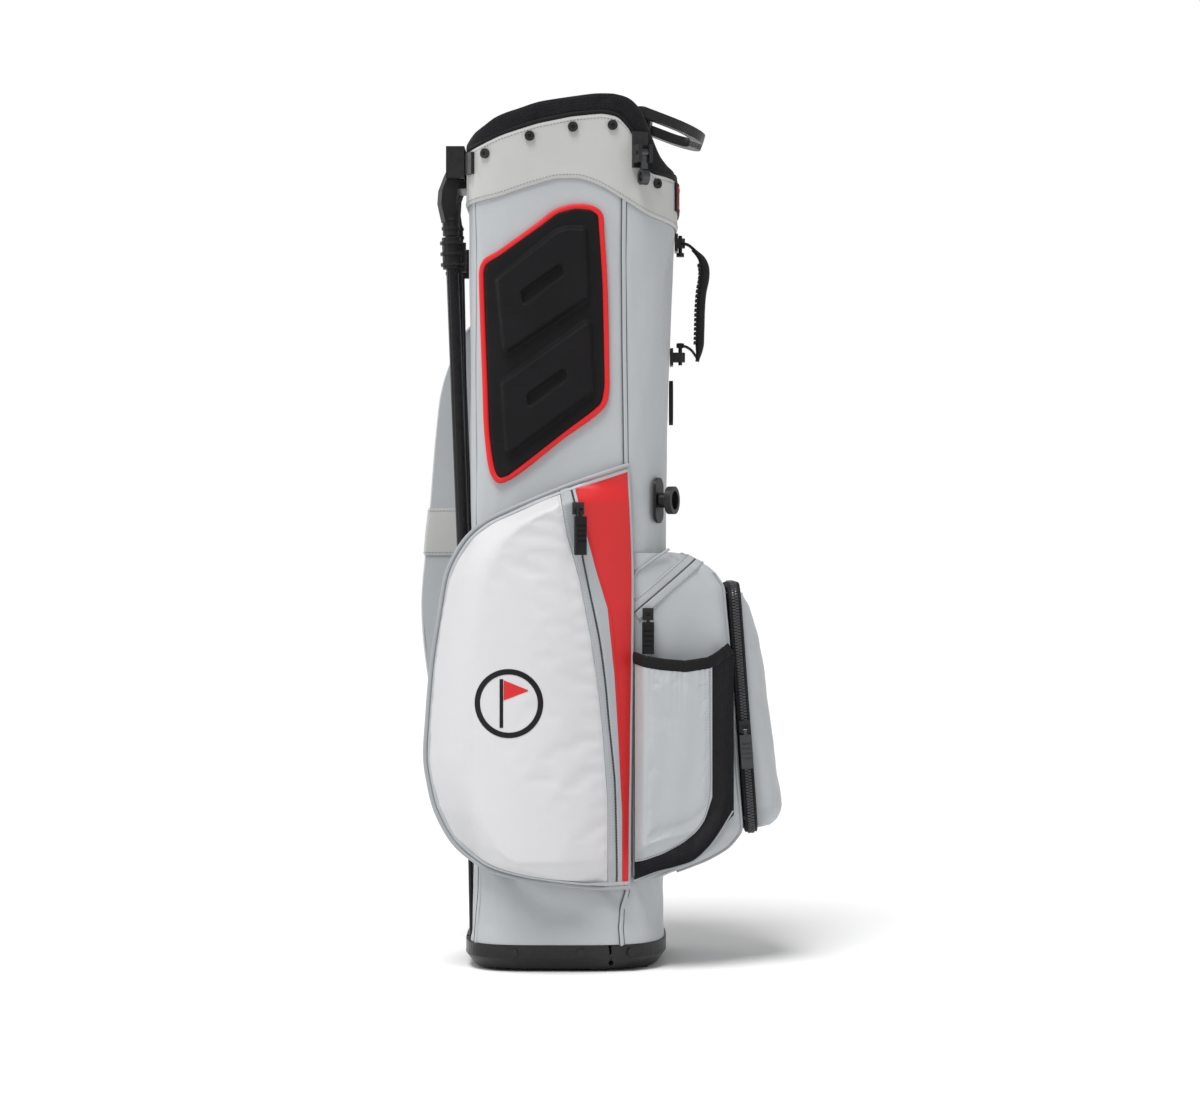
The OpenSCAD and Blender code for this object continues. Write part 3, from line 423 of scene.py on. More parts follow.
def inflate(grid, sewn, cap, outwards=None, pressure=4.0, extra=0.015, wrap=False, every=2, least=-9.0):
    """A panel sewn along some of its points and filled from behind, by cloth simulation on a coarser grid.

    sewn marks the points that stay put, cap is the furthest a point may move and extra the share of spare
    cloth. outwards is the direction the filling pushes in, and the points then move only along it, no less
    than least mm and less and less towards the edge. Without it the grid closes on itself both ways."""
    n, m = grid.shape[:2]
    closed = outwards is None
    rows = np.arange(0, n, every) if closed else np.unique(np.r_[np.arange(0, n, every), n - 1])
    cols = np.arange(0, m, every) if wrap else np.unique(np.r_[np.arange(0, m, every), m - 1])
    coarse = grid[np.ix_(rows, cols)]
    count = len(rows) + 1 if closed else len(rows)
    quads = grid_quads(count, len(cols), wrap)[0] % (len(rows) * len(cols))
    if not closed and np.mean(np.sum(normals_of(coarse, wrap) * outwards, -1)) > 0:
        quads = quads[:, ::-1]
    work = build("cloth_work", coarse.reshape(-1, 3), quads, recalc=closed)
    if not closed and np.sum(np.array([p.normal for p in work.data.polygons]) @ np.array(outwards, float)) < 0:
        work.data.flip_normals()
    pins = work.vertex_groups.new(name="sewn")
    pins.add(np.flatnonzero(sewn[np.ix_(rows, cols)].ravel()).tolist(), 1.0, "REPLACE")
    cloth = work.modifiers.new("cloth", "CLOTH")
    cloth.point_cache.frame_start, cloth.point_cache.frame_end = 1, CLOTH_FRAMES
    rule = cloth.settings
    rule.quality, rule.mass = 6, 0.3
    rule.tension_stiffness = rule.compression_stiffness = rule.shear_stiffness = 15.0
    rule.bending_stiffness = 0.8
    rule.vertex_group_mass = "sewn"
    rule.use_pressure, rule.uniform_pressure_force = True, pressure
    rule.shrink_min = -extra
    rule.effector_weights.gravity = 0.0
    for frame_number in range(1, CLOTH_FRAMES + 1):
        bpy.context.scene.frame_set(frame_number)
    result = work.evaluated_get(bpy.context.evaluated_depsgraph_get()).data
    moved = np.zeros(len(coarse.reshape(-1, 3)) * 3)
    result.vertices.foreach_get("co", moved)
    bpy.context.scene.frame_set(1)
    mesh = work.data
    bpy.data.objects.remove(work)
    bpy.data.meshes.remove(mesh)
    move = moved.reshape(coarse.shape) / MM - coarse
    size = np.maximum(1e-6, np.linalg.norm(move, axis=-1, keepdims=True))
    move *= cap * np.tanh(size / cap) / size
    if closed:
        move, rows = np.concatenate([move, move[:1]]), np.r_[rows, n]
    if wrap:
        move, cols = np.concatenate([move, move[:, :1]], 1), np.r_[cols, m]
    tall = np.stack([[np.interp(np.arange(n), rows, move[:, j, k]) for j in range(len(cols))] for k in range(3)])
    full = np.stack([[np.interp(np.arange(m), cols, tall[k, :, i]) for i in range(n)] for k in range(3)], -1)
    if closed:
        return grid + full
    away = np.asarray(outwards, float)
    near = np.minimum.outer(np.minimum(np.arange(n), n - 1 - np.arange(n)),
                            np.minimum(np.arange(m), m - 1 - np.arange(m)))
    return grid + (np.maximum(least, full @ away) * ramp((near - 1) / 9))[..., None] * away


CLOTH_FRAMES = 20


def border(grid, width=1):
    """Marks the points round the edge of a grid."""
    mark = np.zeros(grid.shape[:2], bool)
    mark[:width] = mark[-width:] = True
    mark[:, :width] = mark[:, -width:] = True
    return mark


def swell(before, after, left, right, low, high, side):
    """How far a filled region stands out at (x, z), so that what lies on it can follow."""
    rise = (after - before)[..., 1] * side
    n, m = rise.shape

    def at(x, z):
        l, r = lookup(z, left), lookup(z, right)
        v = np.arccos(1 - 2 * np.clip((z - low) / (high - low), 0, 1)) / math.pi * (n - 1)
        u = np.arccos(1 - 2 * np.clip((x - l) / (r - l), 0, 1)) / math.pi * (m - 1)
        i, j = np.clip(v.astype(int), 0, n - 2), np.clip(u.astype(int), 0, m - 2)
        a, b = v - i, u - j
        return (rise[i, j] * (1 - a) * (1 - b) + rise[i + 1, j] * a * (1 - b)
                + rise[i, j + 1] * (1 - a) * b + rise[i + 1, j + 1] * a * b)

    return at


# ---------------------------------------------------------------- materials
def node_material(name):
    m = bpy.data.materials.new(name)
    m.use_nodes = True
    tree = m.node_tree
    tree.nodes.clear()
    out = tree.nodes.new("ShaderNodeOutputMaterial")
    bsdf = tree.nodes.new("ShaderNodeBsdfPrincipled")
    tree.links.new(bsdf.outputs[0], out.inputs[0])
    return m, tree, bsdf


def add(tree, kind, links=(), **values):
    node = tree.nodes.new(kind)
    for key, value in values.items():
        if key.startswith("in_"):
            label = key[3:]
            socket = int(label) if label.isdigit() else label.replace("_", " ").title()
            node.inputs[socket].default_value = value
        else:
            setattr(node, key, value)
    for target, source in links:
        tree.links.new(source, node.inputs[target])
    return node


def tint(tree, vector, colour, scale, amount):
    """Base colour that drifts a little over the surface."""
    noise = add(tree, "ShaderNodeTexNoise", [("Vector", vector)], in_scale=scale, in_detail=3.0)
    dark = tuple(c * (1 - amount) for c in colour[:3]) + (1,)
    light = tuple(min(1, c * (1 + amount)) for c in colour[:3]) + (1,)
    ramp_node = add(tree, "ShaderNodeValToRGB", [("Fac", noise.outputs["Fac"])])
    ramp_node.color_ramp.elements[0].position, ramp_node.color_ramp.elements[0].color = 0.3, dark
    ramp_node.color_ramp.elements[1].position, ramp_node.color_ramp.elements[1].color = 0.7, light
    return ramp_node.outputs["Color"]


def waves(tree, vector, period, direction):
    """Bands across one axis, period in metres."""
    return add(tree, "ShaderNodeTexWave", [("Vector", vector)], wave_type="BANDS",
               bands_direction=direction, in_scale=0.3142 / period).outputs["Fac"]


def maths(tree, operation, a, b):
    node = tree.nodes.new("ShaderNodeMath")
    node.operation = operation
    for socket, value in zip(node.inputs, (a, b)):
        if isinstance(value, (int, float)):
            socket.default_value = value
        else:
            tree.links.new(value, socket)
    return node.outputs[0]


def bump(tree, height, strength, distance, under=None):
    links = [("Height", height)] + ([("Normal", under)] if under is not None else [])
    return add(tree, "ShaderNodeBump", links, in_strength=strength, in_distance=distance).outputs["Normal"]


def rough(tree, bsdf, vector, low, high, scale):
    noise = add(tree, "ShaderNodeTexNoise", [("Vector", vector)], in_scale=scale, in_detail=4.0)
    spread = add(tree, "ShaderNodeMapRange", [("Value", noise.outputs["Fac"])])
    spread.inputs["From Min"].default_value, spread.inputs["From Max"].default_value = 0.3, 0.7
    spread.inputs["To Min"].default_value, spread.inputs["To Max"].default_value = low, high
    tree.links.new(spread.outputs["Result"], bsdf.inputs["Roughness"])


def woven(name, colour, period=0.0008, depth=0.5, low=0.42, high=0.52, drift=0.03, sheen=0.15, spec=0.3,
          diagonal=False):
    """Woven cloth: crossed threads from the piece's own UV, with soft wrinkles in its coordinates."""
    m, tree, bsdf = node_material(name)
    coord = tree.nodes.new("ShaderNodeTexCoord")
    uv, place = coord.outputs["UV"], coord.outputs["Object"]
    tree.links.new(tint(tree, place, colour, 9.0, drift), bsdf.inputs["Base Color"])
    rough(tree, bsdf, place, low, high, 60.0)
    if diagonal:
        threads = waves(tree, uv, period, "DIAGONAL")
    else:
        threads = maths(tree, "MULTIPLY", waves(tree, uv, period, "X"), waves(tree, uv, period, "Y"))
    wrinkle = add(tree, "ShaderNodeTexNoise", [("Vector", place)], in_scale=42.0, in_detail=2.0)
    first = bump(tree, wrinkle.outputs["Fac"], 0.25, 0.002)
    tree.links.new(bump(tree, threads, depth, 0.00012, first), bsdf.inputs["Normal"])
    bsdf.inputs["Sheen Weight"].default_value = sheen
    bsdf.inputs["Sheen Roughness"].default_value = 0.4
    bsdf.inputs["Specular IOR Level"].default_value = spec
    return m


def air_mesh(name, colour, cell=0.0028):
    """Padded knit with a field of small holes."""
    m, tree, bsdf = node_material(name)
    coord = tree.nodes.new("ShaderNodeTexCoord")
    uv, place = coord.outputs["UV"], coord.outputs["Object"]
    cells = add(tree, "ShaderNodeTexVoronoi", [("Vector", uv)], feature="F1", in_scale=1 / cell,
                in_randomness=0.25)
    hole = add(tree, "ShaderNodeValToRGB", [("Fac", cells.outputs["Distance"])])
    hole.color_ramp.elements[0].position = 0.12
    hole.color_ramp.elements[0].color = tuple(c * 0.25 for c in colour[:3]) + (1,)
    hole.color_ramp.elements[1].position = 0.42
    hole.color_ramp.elements[1].color = tuple(colour[:3]) + (1,)
    tree.links.new(hole.outputs["Color"], bsdf.inputs["Base Color"])
    fuzz = add(tree, "ShaderNodeTexNoise", [("Vector", place)], in_scale=900.0, in_detail=2.0)
    first = bump(tree, fuzz.outputs["Fac"], 0.25, 0.0003)
    tree.links.new(bump(tree, cells.outputs["Distance"], 0.8, 0.0006, first), bsdf.inputs["Normal"])
    rough(tree, bsdf, place, 0.75, 0.9, 80.0)
    bsdf.inputs["Specular IOR Level"].default_value = 0.12
    bsdf.inputs["Sheen Weight"].default_value = 0.04
    bsdf.inputs["Sheen Roughness"].default_value = 0.5
    return m


def leather(name, colour, grain=0.0011, depth=0.35, low=0.42, high=0.55):
    """Coated cloth with a pebbled grain."""
    m, tree, bsdf = node_material(name)
    place = tree.nodes.new("ShaderNodeTexCoord").outputs["Object"]
    tree.links.new(tint(tree, place, colour, 14.0, 0.025), bsdf.inputs["Base Color"])
    rough(tree, bsdf, place, low, high, 90.0)
    pebbles = add(tree, "ShaderNodeTexVoronoi", [("Vector", place)], feature="SMOOTH_F1",
                  in_scale=1 / grain)
    soft = add(tree, "ShaderNodeTexNoise", [("Vector", place)], in_scale=35.0, in_detail=3.0)
    first = bump(tree, soft.outputs["Fac"], 0.25, 0.002)
    tree.links.new(bump(tree, pebbles.outputs["Distance"], depth, 0.00025, first), bsdf.inputs["Normal"])
    bsdf.inputs["Specular IOR Level"].default_value = 0.45
    return m


def moulded(name, colour, low=0.32, high=0.45, grain=700.0, depth=0.18, wear=0.5, spec=0.2):
    """Moulded plastic or rubber: fine texture, and edges rubbed a little lighter."""
    m, tree, bsdf = node_material(name)
    place = tree.nodes.new("ShaderNodeTexCoord").outputs["Object"]
    base = tint(tree, place, colour, 25.0, 0.12)
    point = tree.nodes.new("ShaderNodeNewGeometry").outputs["Pointiness"]
    edge = add(tree, "ShaderNodeMapRange", [("Value", point)])
    edge.inputs["From Min"].default_value, edge.inputs["From Max"].default_value = 0.53, 0.62
    edge.inputs["To Max"].default_value = wear
    rub = add(tree, "ShaderNodeTexNoise", [("Vector", place)], in_scale=180.0, in_detail=4.0)
    amount = maths(tree, "MULTIPLY", edge.outputs["Result"], rub.outputs["Fac"])
    blend = add(tree, "ShaderNodeMix", data_type="RGBA")
    tree.links.new(amount, blend.inputs["Factor"])
    tree.links.new(base, blend.inputs["A"])
    blend.inputs["B"].default_value = tuple(min(1, c * 2.2 + 0.03) for c in colour[:3]) + (1,)
    tree.links.new(blend.outputs["Result"], bsdf.inputs["Base Color"])
    rough(tree, bsdf, place, low, high, 120.0)
    fine = add(tree, "ShaderNodeTexNoise", [("Vector", place)], in_scale=grain, in_detail=3.0)
    tree.links.new(bump(tree, fine.outputs["Fac"], depth, 0.0003), bsdf.inputs["Normal"])
    bsdf.inputs["Specular IOR Level"].default_value = spec
    return m


def metal(name, colour, low=0.22, high=0.38):
    m, tree, bsdf = node_material(name)
    place = tree.nodes.new("ShaderNodeTexCoord").outputs["Object"]
    tree.links.new(tint(tree, place, colour, 60.0, 0.06), bsdf.inputs["Base Color"])
    stretch = add(tree, "ShaderNodeMapping", [("Vector", place)])
    stretch.inputs["Scale"].default_value = (1, 1, 0.04)
    brushed = add(tree, "ShaderNodeTexNoise", [("Vector", stretch.outputs["Vector"])], in_scale=900.0,
                  in_detail=2.0)
    tree.links.new(bump(tree, brushed.outputs["Fac"], 0.12, 0.0001), bsdf.inputs["Normal"])
    rough(tree, bsdf, place, low, high, 150.0)
    bsdf.inputs["Metallic"].default_value = 1.0
    return m


GREY = (0.415, 0.435, 0.45)
INK = (0.011, 0.011, 0.012)
MATS = {
    "grey_nylon": woven("grey nylon", GREY, 0.0008, 0.35, 0.38, 0.50, 0.025, 0.1),
    "white_nylon": woven("white nylon", (0.60, 0.60, 0.612), 0.0009, 0.35, 0.36, 0.46, 0.012, 0.08),
    "red_nylon": woven("red nylon", (0.60, 0.020, 0.022), 0.0008, 0.35, 0.40, 0.50, 0.03, 0.05),
    "black_fabric": woven("black fabric", (0.010, 0.010, 0.011), 0.0012, 0.7, 0.6, 0.75, 0.15, 0.03, 0.15),
    "black_mesh": air_mesh("black air mesh", (0.013, 0.013, 0.015)),
    "grey_leatherette": leather("grey leatherette", (0.455, 0.46, 0.448)),
    "black_foam": moulded("black foam", (0.009, 0.009, 0.010), 0.55, 0.7, 1400.0, 0.25, 0.15, 0.1),
    "black_plastic": moulded("black plastic", INK, 0.3, 0.42, 900.0, 0.12, 0.35, 0.25),
    "black_rubber": moulded("black rubber", INK, 0.55, 0.68, 600.0, 0.3, 0.25, 0.15),
    "black_tube": moulded("black tube", (0.005, 0.005, 0.006), 0.14, 0.24, 300.0, 0.05, 0.2, 0.3),
    "red_piping": woven("red piping", (0.66, 0.012, 0.014), 0.0011, 0.9, 0.45, 0.55, 0.04, 0.08, diagonal=True),
    "stay_rod": moulded("stay rod", (0.05, 0.05, 0.055), 0.4, 0.5, 500.0, 0.15, 0.2),
    "steel": metal("steel", (0.5, 0.51, 0.53)),
    "grey_metal": metal("grey metal", (0.075, 0.077, 0.082), 0.3, 0.42),
    "zip_tape": woven("zip tape", (0.40, 0.42, 0.44), 0.0007, 0.8, 0.5, 0.6, 0.04, 0.05),
    "black_zip": woven("black zip tape", (0.010, 0.010, 0.012), 0.0008, 0.8, 0.5, 0.62, 0.1, 0.03, 0.15),
    "grey_thread": woven("grey thread", (0.22, 0.23, 0.24), 0.0004, 0.6, 0.5, 0.6, 0.05, 0.05),
    # Dark grey cord colour: painted shade of the grooves beside the seam welts
    "seam_shade_line": woven("seam shade line", (0.09, 0.094, 0.10), 0.0004, 0.6, 0.5, 0.6, 0.05, 0.02),
    "white_thread": woven("white thread", (0.56, 0.565, 0.575), 0.0004, 0.6, 0.5, 0.6, 0.05, 0.05),
    "black_thread": woven("black thread", (0.02, 0.02, 0.022), 0.0004, 0.6, 0.5, 0.6, 0.05, 0.05),
    "dark_tooth": moulded("zip tooth", (0.03, 0.03, 0.033), 0.22, 0.34, 900.0, 0.1, 0.6, 0.4),
    "piping_grey": leather("grey piping cover", (0.33, 0.345, 0.36), 0.0006, 0.3),
}
SLOTS = {"black_zip": "black_fabric", "grey_thread": "grey_nylon", "white_thread": "white_nylon",
         "seam_shade_line": "grey_nylon", "black_thread": "black_fabric", "dark_tooth": "black_plastic",
         "piping_grey": "grey_nylon"}


def dress(obj, look, body="bag", stands_for=(), move=True):
    """Give a piece its material and body, and hide the CAD nodes it stands for."""
    obj.data.materials.clear()
    obj.data.materials.append(MATS[look])
    SLOTS.get(look, look)
    if move:
        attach(obj, body)
    if stands_for:
        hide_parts(*stands_for)
    return obj


def skirt_blend(obj):
    """Bakes the piece's placement into its mesh."""
    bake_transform(obj)


# ---------------------------------------------------------------- camera, light, floor
camera = bpy.data.objects.new("camera", bpy.data.cameras.new("camera"))
camera.location = (0.032, -3.0, 0.422)
camera.rotation_euler = (math.pi / 2, 0, 0)
camera.data.lens = 87
camera.data.sensor_width = 36
bpy.context.scene.collection.objects.link(camera)
bpy.context.scene.camera = camera

# A white surround is seen behind the bag, and a softer one lights it
world = bpy.data.worlds.new("studio")
world.use_nodes = True
sky = world.node_tree
shade = sky.nodes["Background"]
shade.inputs[0].default_value = (1, 1, 1, 1)
shade.inputs[1].default_value = 0.45
seen = sky.nodes.new("ShaderNodeBackground")
seen.inputs[1].default_value = 1.0
seen.inputs[0].default_value = (1, 1, 1, 1)
pick = sky.nodes.new("ShaderNodeMixShader")
sky.links.new(sky.nodes.new("ShaderNodeLightPath").outputs["Is Camera Ray"], pick.inputs[0])
sky.links.new(shade.outputs[0], pick.inputs[1])
sky.links.new(seen.outputs[0], pick.inputs[2])
sky.links.new(pick.outputs[0], sky.nodes["World Output"].inputs[0])
bpy.context.scene.world = world
bpy.context.scene.view_settings.view_transform = "Standard"


def lamp(name, kind, place, power, aim=(0, 0, 0.42), **values):
    light = bpy.data.lights.new(name, kind)
    light.energy = power
    for key, value in values.items():
        setattr(light, key, value)
    obj = bpy.data.objects.new(name, light)
    obj.location = place
    obj.rotation_euler = (Vector(aim) - Vector(place)).to_track_quat("-Z", "Y").to_euler()
    bpy.context.scene.collection.objects.link(obj)


lamp("key", "SUN", (-0.6, -1.2, 3.3), 2.75, angle=math.radians(26))
lamp("side", "AREA", (-1.9, -1.1, 1.1), 4, shape="RECTANGLE", size=0.5, size_y=1.6)
lamp("fill", "AREA", (1.9, -1.2, 0.9), 3, shape="RECTANGLE", size=0.5, size_y=1.6)
lamp("back", "AREA", (-1.8, 0.9, 1.3), 7, shape="RECTANGLE", size=0.6, size_y=1.4)

floor = build("floor", [(-40000, -40000, 0), (40000, -40000, 0), (40000, 40000, 0), (-40000, 40000, 0)],
              [(0, 1, 2, 3)], recalc=False)
floor_mat, floor_tree, floor_bsdf = node_material("floor paint")
floor_place = floor_tree.nodes.new("ShaderNodeTexCoord").outputs["Object"]
floor_tree.links.new(tint(floor_tree, floor_place, (0.87, 0.87, 0.87), 3.0, 0.004), floor_bsdf.inputs["Base Color"])
floor_bsdf.inputs["Roughness"].default_value = 0.9
floor_bsdf.inputs["Specular IOR Level"].default_value = 0.1
floor.data.materials.append(floor_mat)

# ---------------------------------------------------------------- CAD nodes that keep their shape
KEEP = {
    "cuff_frame": "black_plastic", "cuff_screws": "black_plastic", "lift_handle": "black_plastic",
    "strap_hook_bracket": "black_plastic", "strap_hook_loop": "grey_metal", "spine_anchors": "black_plastic",
    "body_stays": "stay_rod", "base_front": "black_plastic", "base_flap": "black_plastic",
    "base_hinge_pin": "steel", "base_screws_front": "black_plastic", "base_screws_flap": "black_plastic",
    "leg_bracket": "black_plastic", "leg_bracket_wings": "black_plastic", "leg_hinge_pins": "steel",
    "leg_springs": "steel", "push_rod_near": "black_tube", "push_rod_far": "black_tube",
    "side_zip_slider": "black_plastic", "side_zip_pull": "black_rubber",
    "long_zip_slider": "black_plastic", "long_zip_pull": "black_rubber",
    "ball_zip_slider": "black_plastic", "ball_zip_pull": "black_rubber",
    "panel_zip_slider": "black_plastic", "panel_zip_pull": "grey_metal",
    "strap_clip": "black_plastic", "strap_ring": "black_plastic", "spine_patch": "black_rubber",
}
for part in ("head", "collar", "foot"):
    for side in ("near", "far"):
        KEEP[f"leg_{part}_{side}"] = "black_rubber" if part == "foot" else "black_plastic"
KEEP["leg_tube_near"] = KEEP["leg_tube_far"] = "black_tube"
for node, look in KEEP.items():
    NODES[node].data.materials.clear()
    NODES[node].data.materials.append(MATS[look])
    NODES[node].data.shade_smooth()
    NODES[node].data.set_sharp_from_angle(angle=math.radians(35))


# ---------------------------------------------------------------- body fabric
def panel_grid(a_left, a_right, cols, rows):
    """Outer surface of one body panel, from the skirt up to the cuff."""
    v = np.linspace(0, 1, rows)[:, None]
    share = np.linspace(0, 1, cols)[None, :]
    edge = arc_angles(float(a_left(MID_Z)), float(a_right(MID_Z)), cols)
    even = (edge - edge[0]) / (edge[-1] - edge[0])
    top_guess = 800.0
    z = mix(SKIRT_TOP, top_guess, v) * np.ones_like(share)
    a = mix(a_left(z), a_right(z), even[None, :])
    for _ in range(3):
        x, _y = outline(a, z)
        z = mix(SKIRT_TOP, lookup(x, BAND_TOP) - 0.4, v)
        a = mix(a_left(z), a_right(z), even[None, :])
    gap = np.minimum(share, 1 - share) * (run_length(skin(edge, MID_Z)[None], 1)[0, -1])
    pinch = 0.9 * np.exp(-((gap / 2.4) ** 2))
    return skin(a, z, -(body_fold(a, z) + pinch))


def away_from_axis(grid, wrap=False):
    """Normals of a grid, turned away from the bag's upright axis."""
    return facing(normals_of(grid, wrap), grid * [1, 1, 0])


near_spine = lambda z: 360 - lookup(z, SPINE_SEAM)
near_back = lambda z: 360 - lookup(z, BACK_SEAM)
far_spine = lambda z: lookup(z, SPINE_SEAM)
far_back = lambda z: lookup(z, BACK_SEAM)
for name, left, right, cols, node in (
        ("spine_cloth", lambda z: -lookup(z, SPINE_SEAM), far_spine, 64, "spine_panel"),
        ("side_cloth_far", far_spine, far_back, 60, "side_panel_far"),
        ("back_cloth", far_back, near_back, 72, "back_panel"),
        ("side_cloth_near", near_back, near_spine, 84, "side_panel_near")):
    grid = panel_grid(left, right, cols, 190)
    dress(slab(name, grid, grid - away_from_axis(grid) * BODY_CLOTH), "grey_nylon", "bag", [node])

angles = arc_angles(0, 360, 181)[:-1]
zs = np.linspace(RIM_TOP, SKIRT_TOP, 34)[:, None]
grid = skin(angles[None, :], zs, -body_fold(angles[None, :], zs))
skirt = slab("skirt_cloth", grid, grid - away_from_axis(grid, True) * BODY_CLOTH, wrap=True)
dress(skirt, "grey_nylon", stands_for=["body_skirt"], move=False)
skirt_blend(skirt)


def skin_path(seam, low, high, lift, step=2.5):
    z = np.arange(low, high + 0.01, step)
    a = seam(z)
    at = skin(a, z, -body_fold(a, z))
    out = skin(a, z, 10.0) - skin(a, z, 0.0)
    out[:, 2] = 0
    out = unit(out)
    return at + out * lift, out


WELT = round_profile(4.4, 2.2, 16, 3.0)
for label, seam in (("spine_near", near_spine), ("spine_far", far_spine),
                    ("back_near", near_back), ("back_far", far_back)):
    top = float(lookup(skin(seam(780.0), 780.0)[0], BAND_LOW)) + 4
    wide = WELT if "spine" in label else round_profile(4.0, 1.3, 12, 2.6)
    path, out = skin_path(seam, SKIRT_TOP, top, 0.2)
    dress(sweep("seam_" + label, path, out, wide), "grey_nylon")
    low_path, low_out = skin_path(seam, RIM_TOP - 1, SKIRT_TOP, 0.2)
    piece = dress(sweep("skirt_seam_" + label, low_path, low_out, wide), "grey_nylon", move=False)
    skirt_blend(piece)
    # Thin dark cords either side of each welt, body and skirt: painted shade of the seam grooves
    for k, shift in enumerate((-2.7, 2.7) if "spine" in label else (-2.4,)):
        line = round_profile(1.1, 1.0, 8)
        if "spine" in label:
            _, b, _ = frames(path, out)
            dress(sweep(f"seam_shade_line_{label}_{k}", path + b * shift + out * 0.05, out, line), "seam_shade_line")
        _, b, _ = frames(low_path, low_out)
        piece = dress(sweep(f"skirt_shade_line_{label}_{k}", low_path + b * shift + low_out * 0.05, low_out, line),
                      "seam_shade_line", move=False)
        skirt_blend(piece)

# ---------------------------------------------------------------- cuff band, collar, patch
cuff_a = arc_angles(0, 360, 241, CUFF_Z)[:-1]
rim_x = outline(cuff_a, CUFF_Z)[0]


def cuff_grid(rows, thick_out, thick_in):
    """Section of the band: down the outside and up the inside, with rounded edges."""
    low, high = eased(rim_x, BAND_LOW, 9), eased(rim_x, BAND_TOP, 6) - 0.4
    outer, inner = [], []
    for v in np.linspace(0, 1, rows):
        z = mix(high, low, v)
        edge = np.minimum(v, 1 - v) * (high - low)
        round_off = 0.9 * (1 - ramp(edge / 2.2))
        wave = 0.25 * ripple(cuff_a * DEGREE, z, 8, 60, 50) * ramp(edge / 8)
        outer.append(skin(cuff_a, z, thick_out - round_off + wave))
        inner.append(skin(cuff_a, z, thick_in))
    return np.array(outer), np.array(inner)


outer, inner = cuff_grid(26, 2.7, 0.45)
dress(slab("cuff_cloth", outer, inner, wrap=True), "grey_leatherette", stands_for=["cuff_band"])


def cuff_line(table, shift, lift=2.75, count=500):
    a = arc_angles(0, 360, count + 1, CUFF_Z)[:-1]
    z = eased(outline(a, CUFF_Z)[0], table, 9 if table is BAND_LOW else 6) + shift
    at = skin(a, z, lift)
    out = skin(a, z, lift + 10) - at
    return at, unit(out)


for name, table, shift in (("cuff_thread_top", BAND_TOP, -4.2), ("cuff_thread_low", BAND_LOW, 3.6)):
    at, out = cuff_line(table, shift)
    dress(stitches(name, at, out, closed=True, pitch=3.4, long=2.4), "grey_thread")
for k, side in enumerate((-1, 1)):
    z = np.arange(778.0, 822.0, 2.0)
    a = np.full_like(z, 180 + side * 26.0)
    at = skin(a, z, 2.75)
    out = skin(a, z, 12.0) - at
    dress(stitches(f"cuff_thread_end_{k}", at, unit(out)), "grey_thread")

collar_a = arc_angles(0, 360, 281, 820.0)[:-1]
cx = outline(collar_a, 820.0)[0]
top, low = eased(cx, COLLAR_TOP, 8), eased(cx, BAND_TOP, 6) - 1.5
pucker = ripple(collar_a * DEGREE, 0 * collar_a, 21, 26, 100)
rows = []
for t in np.linspace(0, 2 * math.pi, 37)[:-1]:
    c, s = math.cos(t), math.sin(t)
    off = -5.25 + spow(np.float64(c), 0.72) * 7.2 * (1 + 0.03 * pucker)
    mid, half = (top + low) / 2, (top - low) / 2
    rows.append(skin(collar_a, mid + spow(np.float64(s), 0.6) * half * (1 + 0.006 * pucker), off))
rows = np.array(rows)
sewn = np.sin(np.linspace(0, 2 * math.pi, 37)[:-1])[:, None] * np.ones(len(collar_a))[None, :] < -0.7
rows = inflate(rows, sewn, 1.2, None, 3.0, 0.02, wrap=True)
ring = np.concatenate([rows, rows[:1]])
vert, tex = grid_quads(len(ring), len(collar_a), True)
collar = build("collar_cushion", rows.reshape(-1, 3), vert % (len(rows) * len(collar_a)),
               grid_uv(ring, True)[tex].reshape(-1, 2), 60)
dress(collar, "black_mesh", stands_for=["collar_pad"])
at, out = cuff_line(BAND_TOP, 2.0, 1.6)
dress(sweep("collar_binding", at, out, round_profile(4.2, 2.6, 10), closed=True), "black_fabric")

a = np.linspace(-19.5, 19.5, 60)[None, :]
z = np.linspace(766.5, 795.5, 24)[:, None]
patch_out = skin(a + 0 * z, z + 0 * a, 4.8)
dress(slab("cuff_badge", patch_out, skin(a + 0 * z, z + 0 * a, 2.9)), "black_rubber", stands_for=["cuff_patch"])
corner = np.array([(-15.5, 770.5), (15.5, 770.5), (15.5, 791.5), (-15.5, 791.5)], float)
loop = []
for (ax, az), (bx, bz) in zip(corner, np.roll(corner, -1, 0)):
    loop += [(mix(ax, bx, t), mix(az, bz, t)) for t in np.linspace(0.06, 0.94, 12)]
loop = spline(loop, 0.6, closed=True)
at = skin(loop[:, 0], loop[:, 1], 4.9)
out = skin(loop[:, 0], loop[:, 1], 14.9) - at
dress(sweep("cuff_badge_edge", at, out / 10, round_profile(1.6, 0.9, 8), closed=True), "red_piping")

# ---------------------------------------------------------------- hip pad
BLOCKS = ([(-74.4, 692.6), (-54, 709.5), (-14, 741), (-2, 745.5), (21, 745), (24, 672.7), (-66.5, 612)],
          [(-69.5, 590), (25, 657.8), (29, 579), (-64.5, 509.6)])
SLOTS_XZ = ([(-47, 679.5), (-7.2, 708), (-3.6, 695.8), (-44.2, 664.3)],
            [(-41.5, 576.7), (-3.1, 604), (-0.9, 591.7), (-38.8, 562.9)])


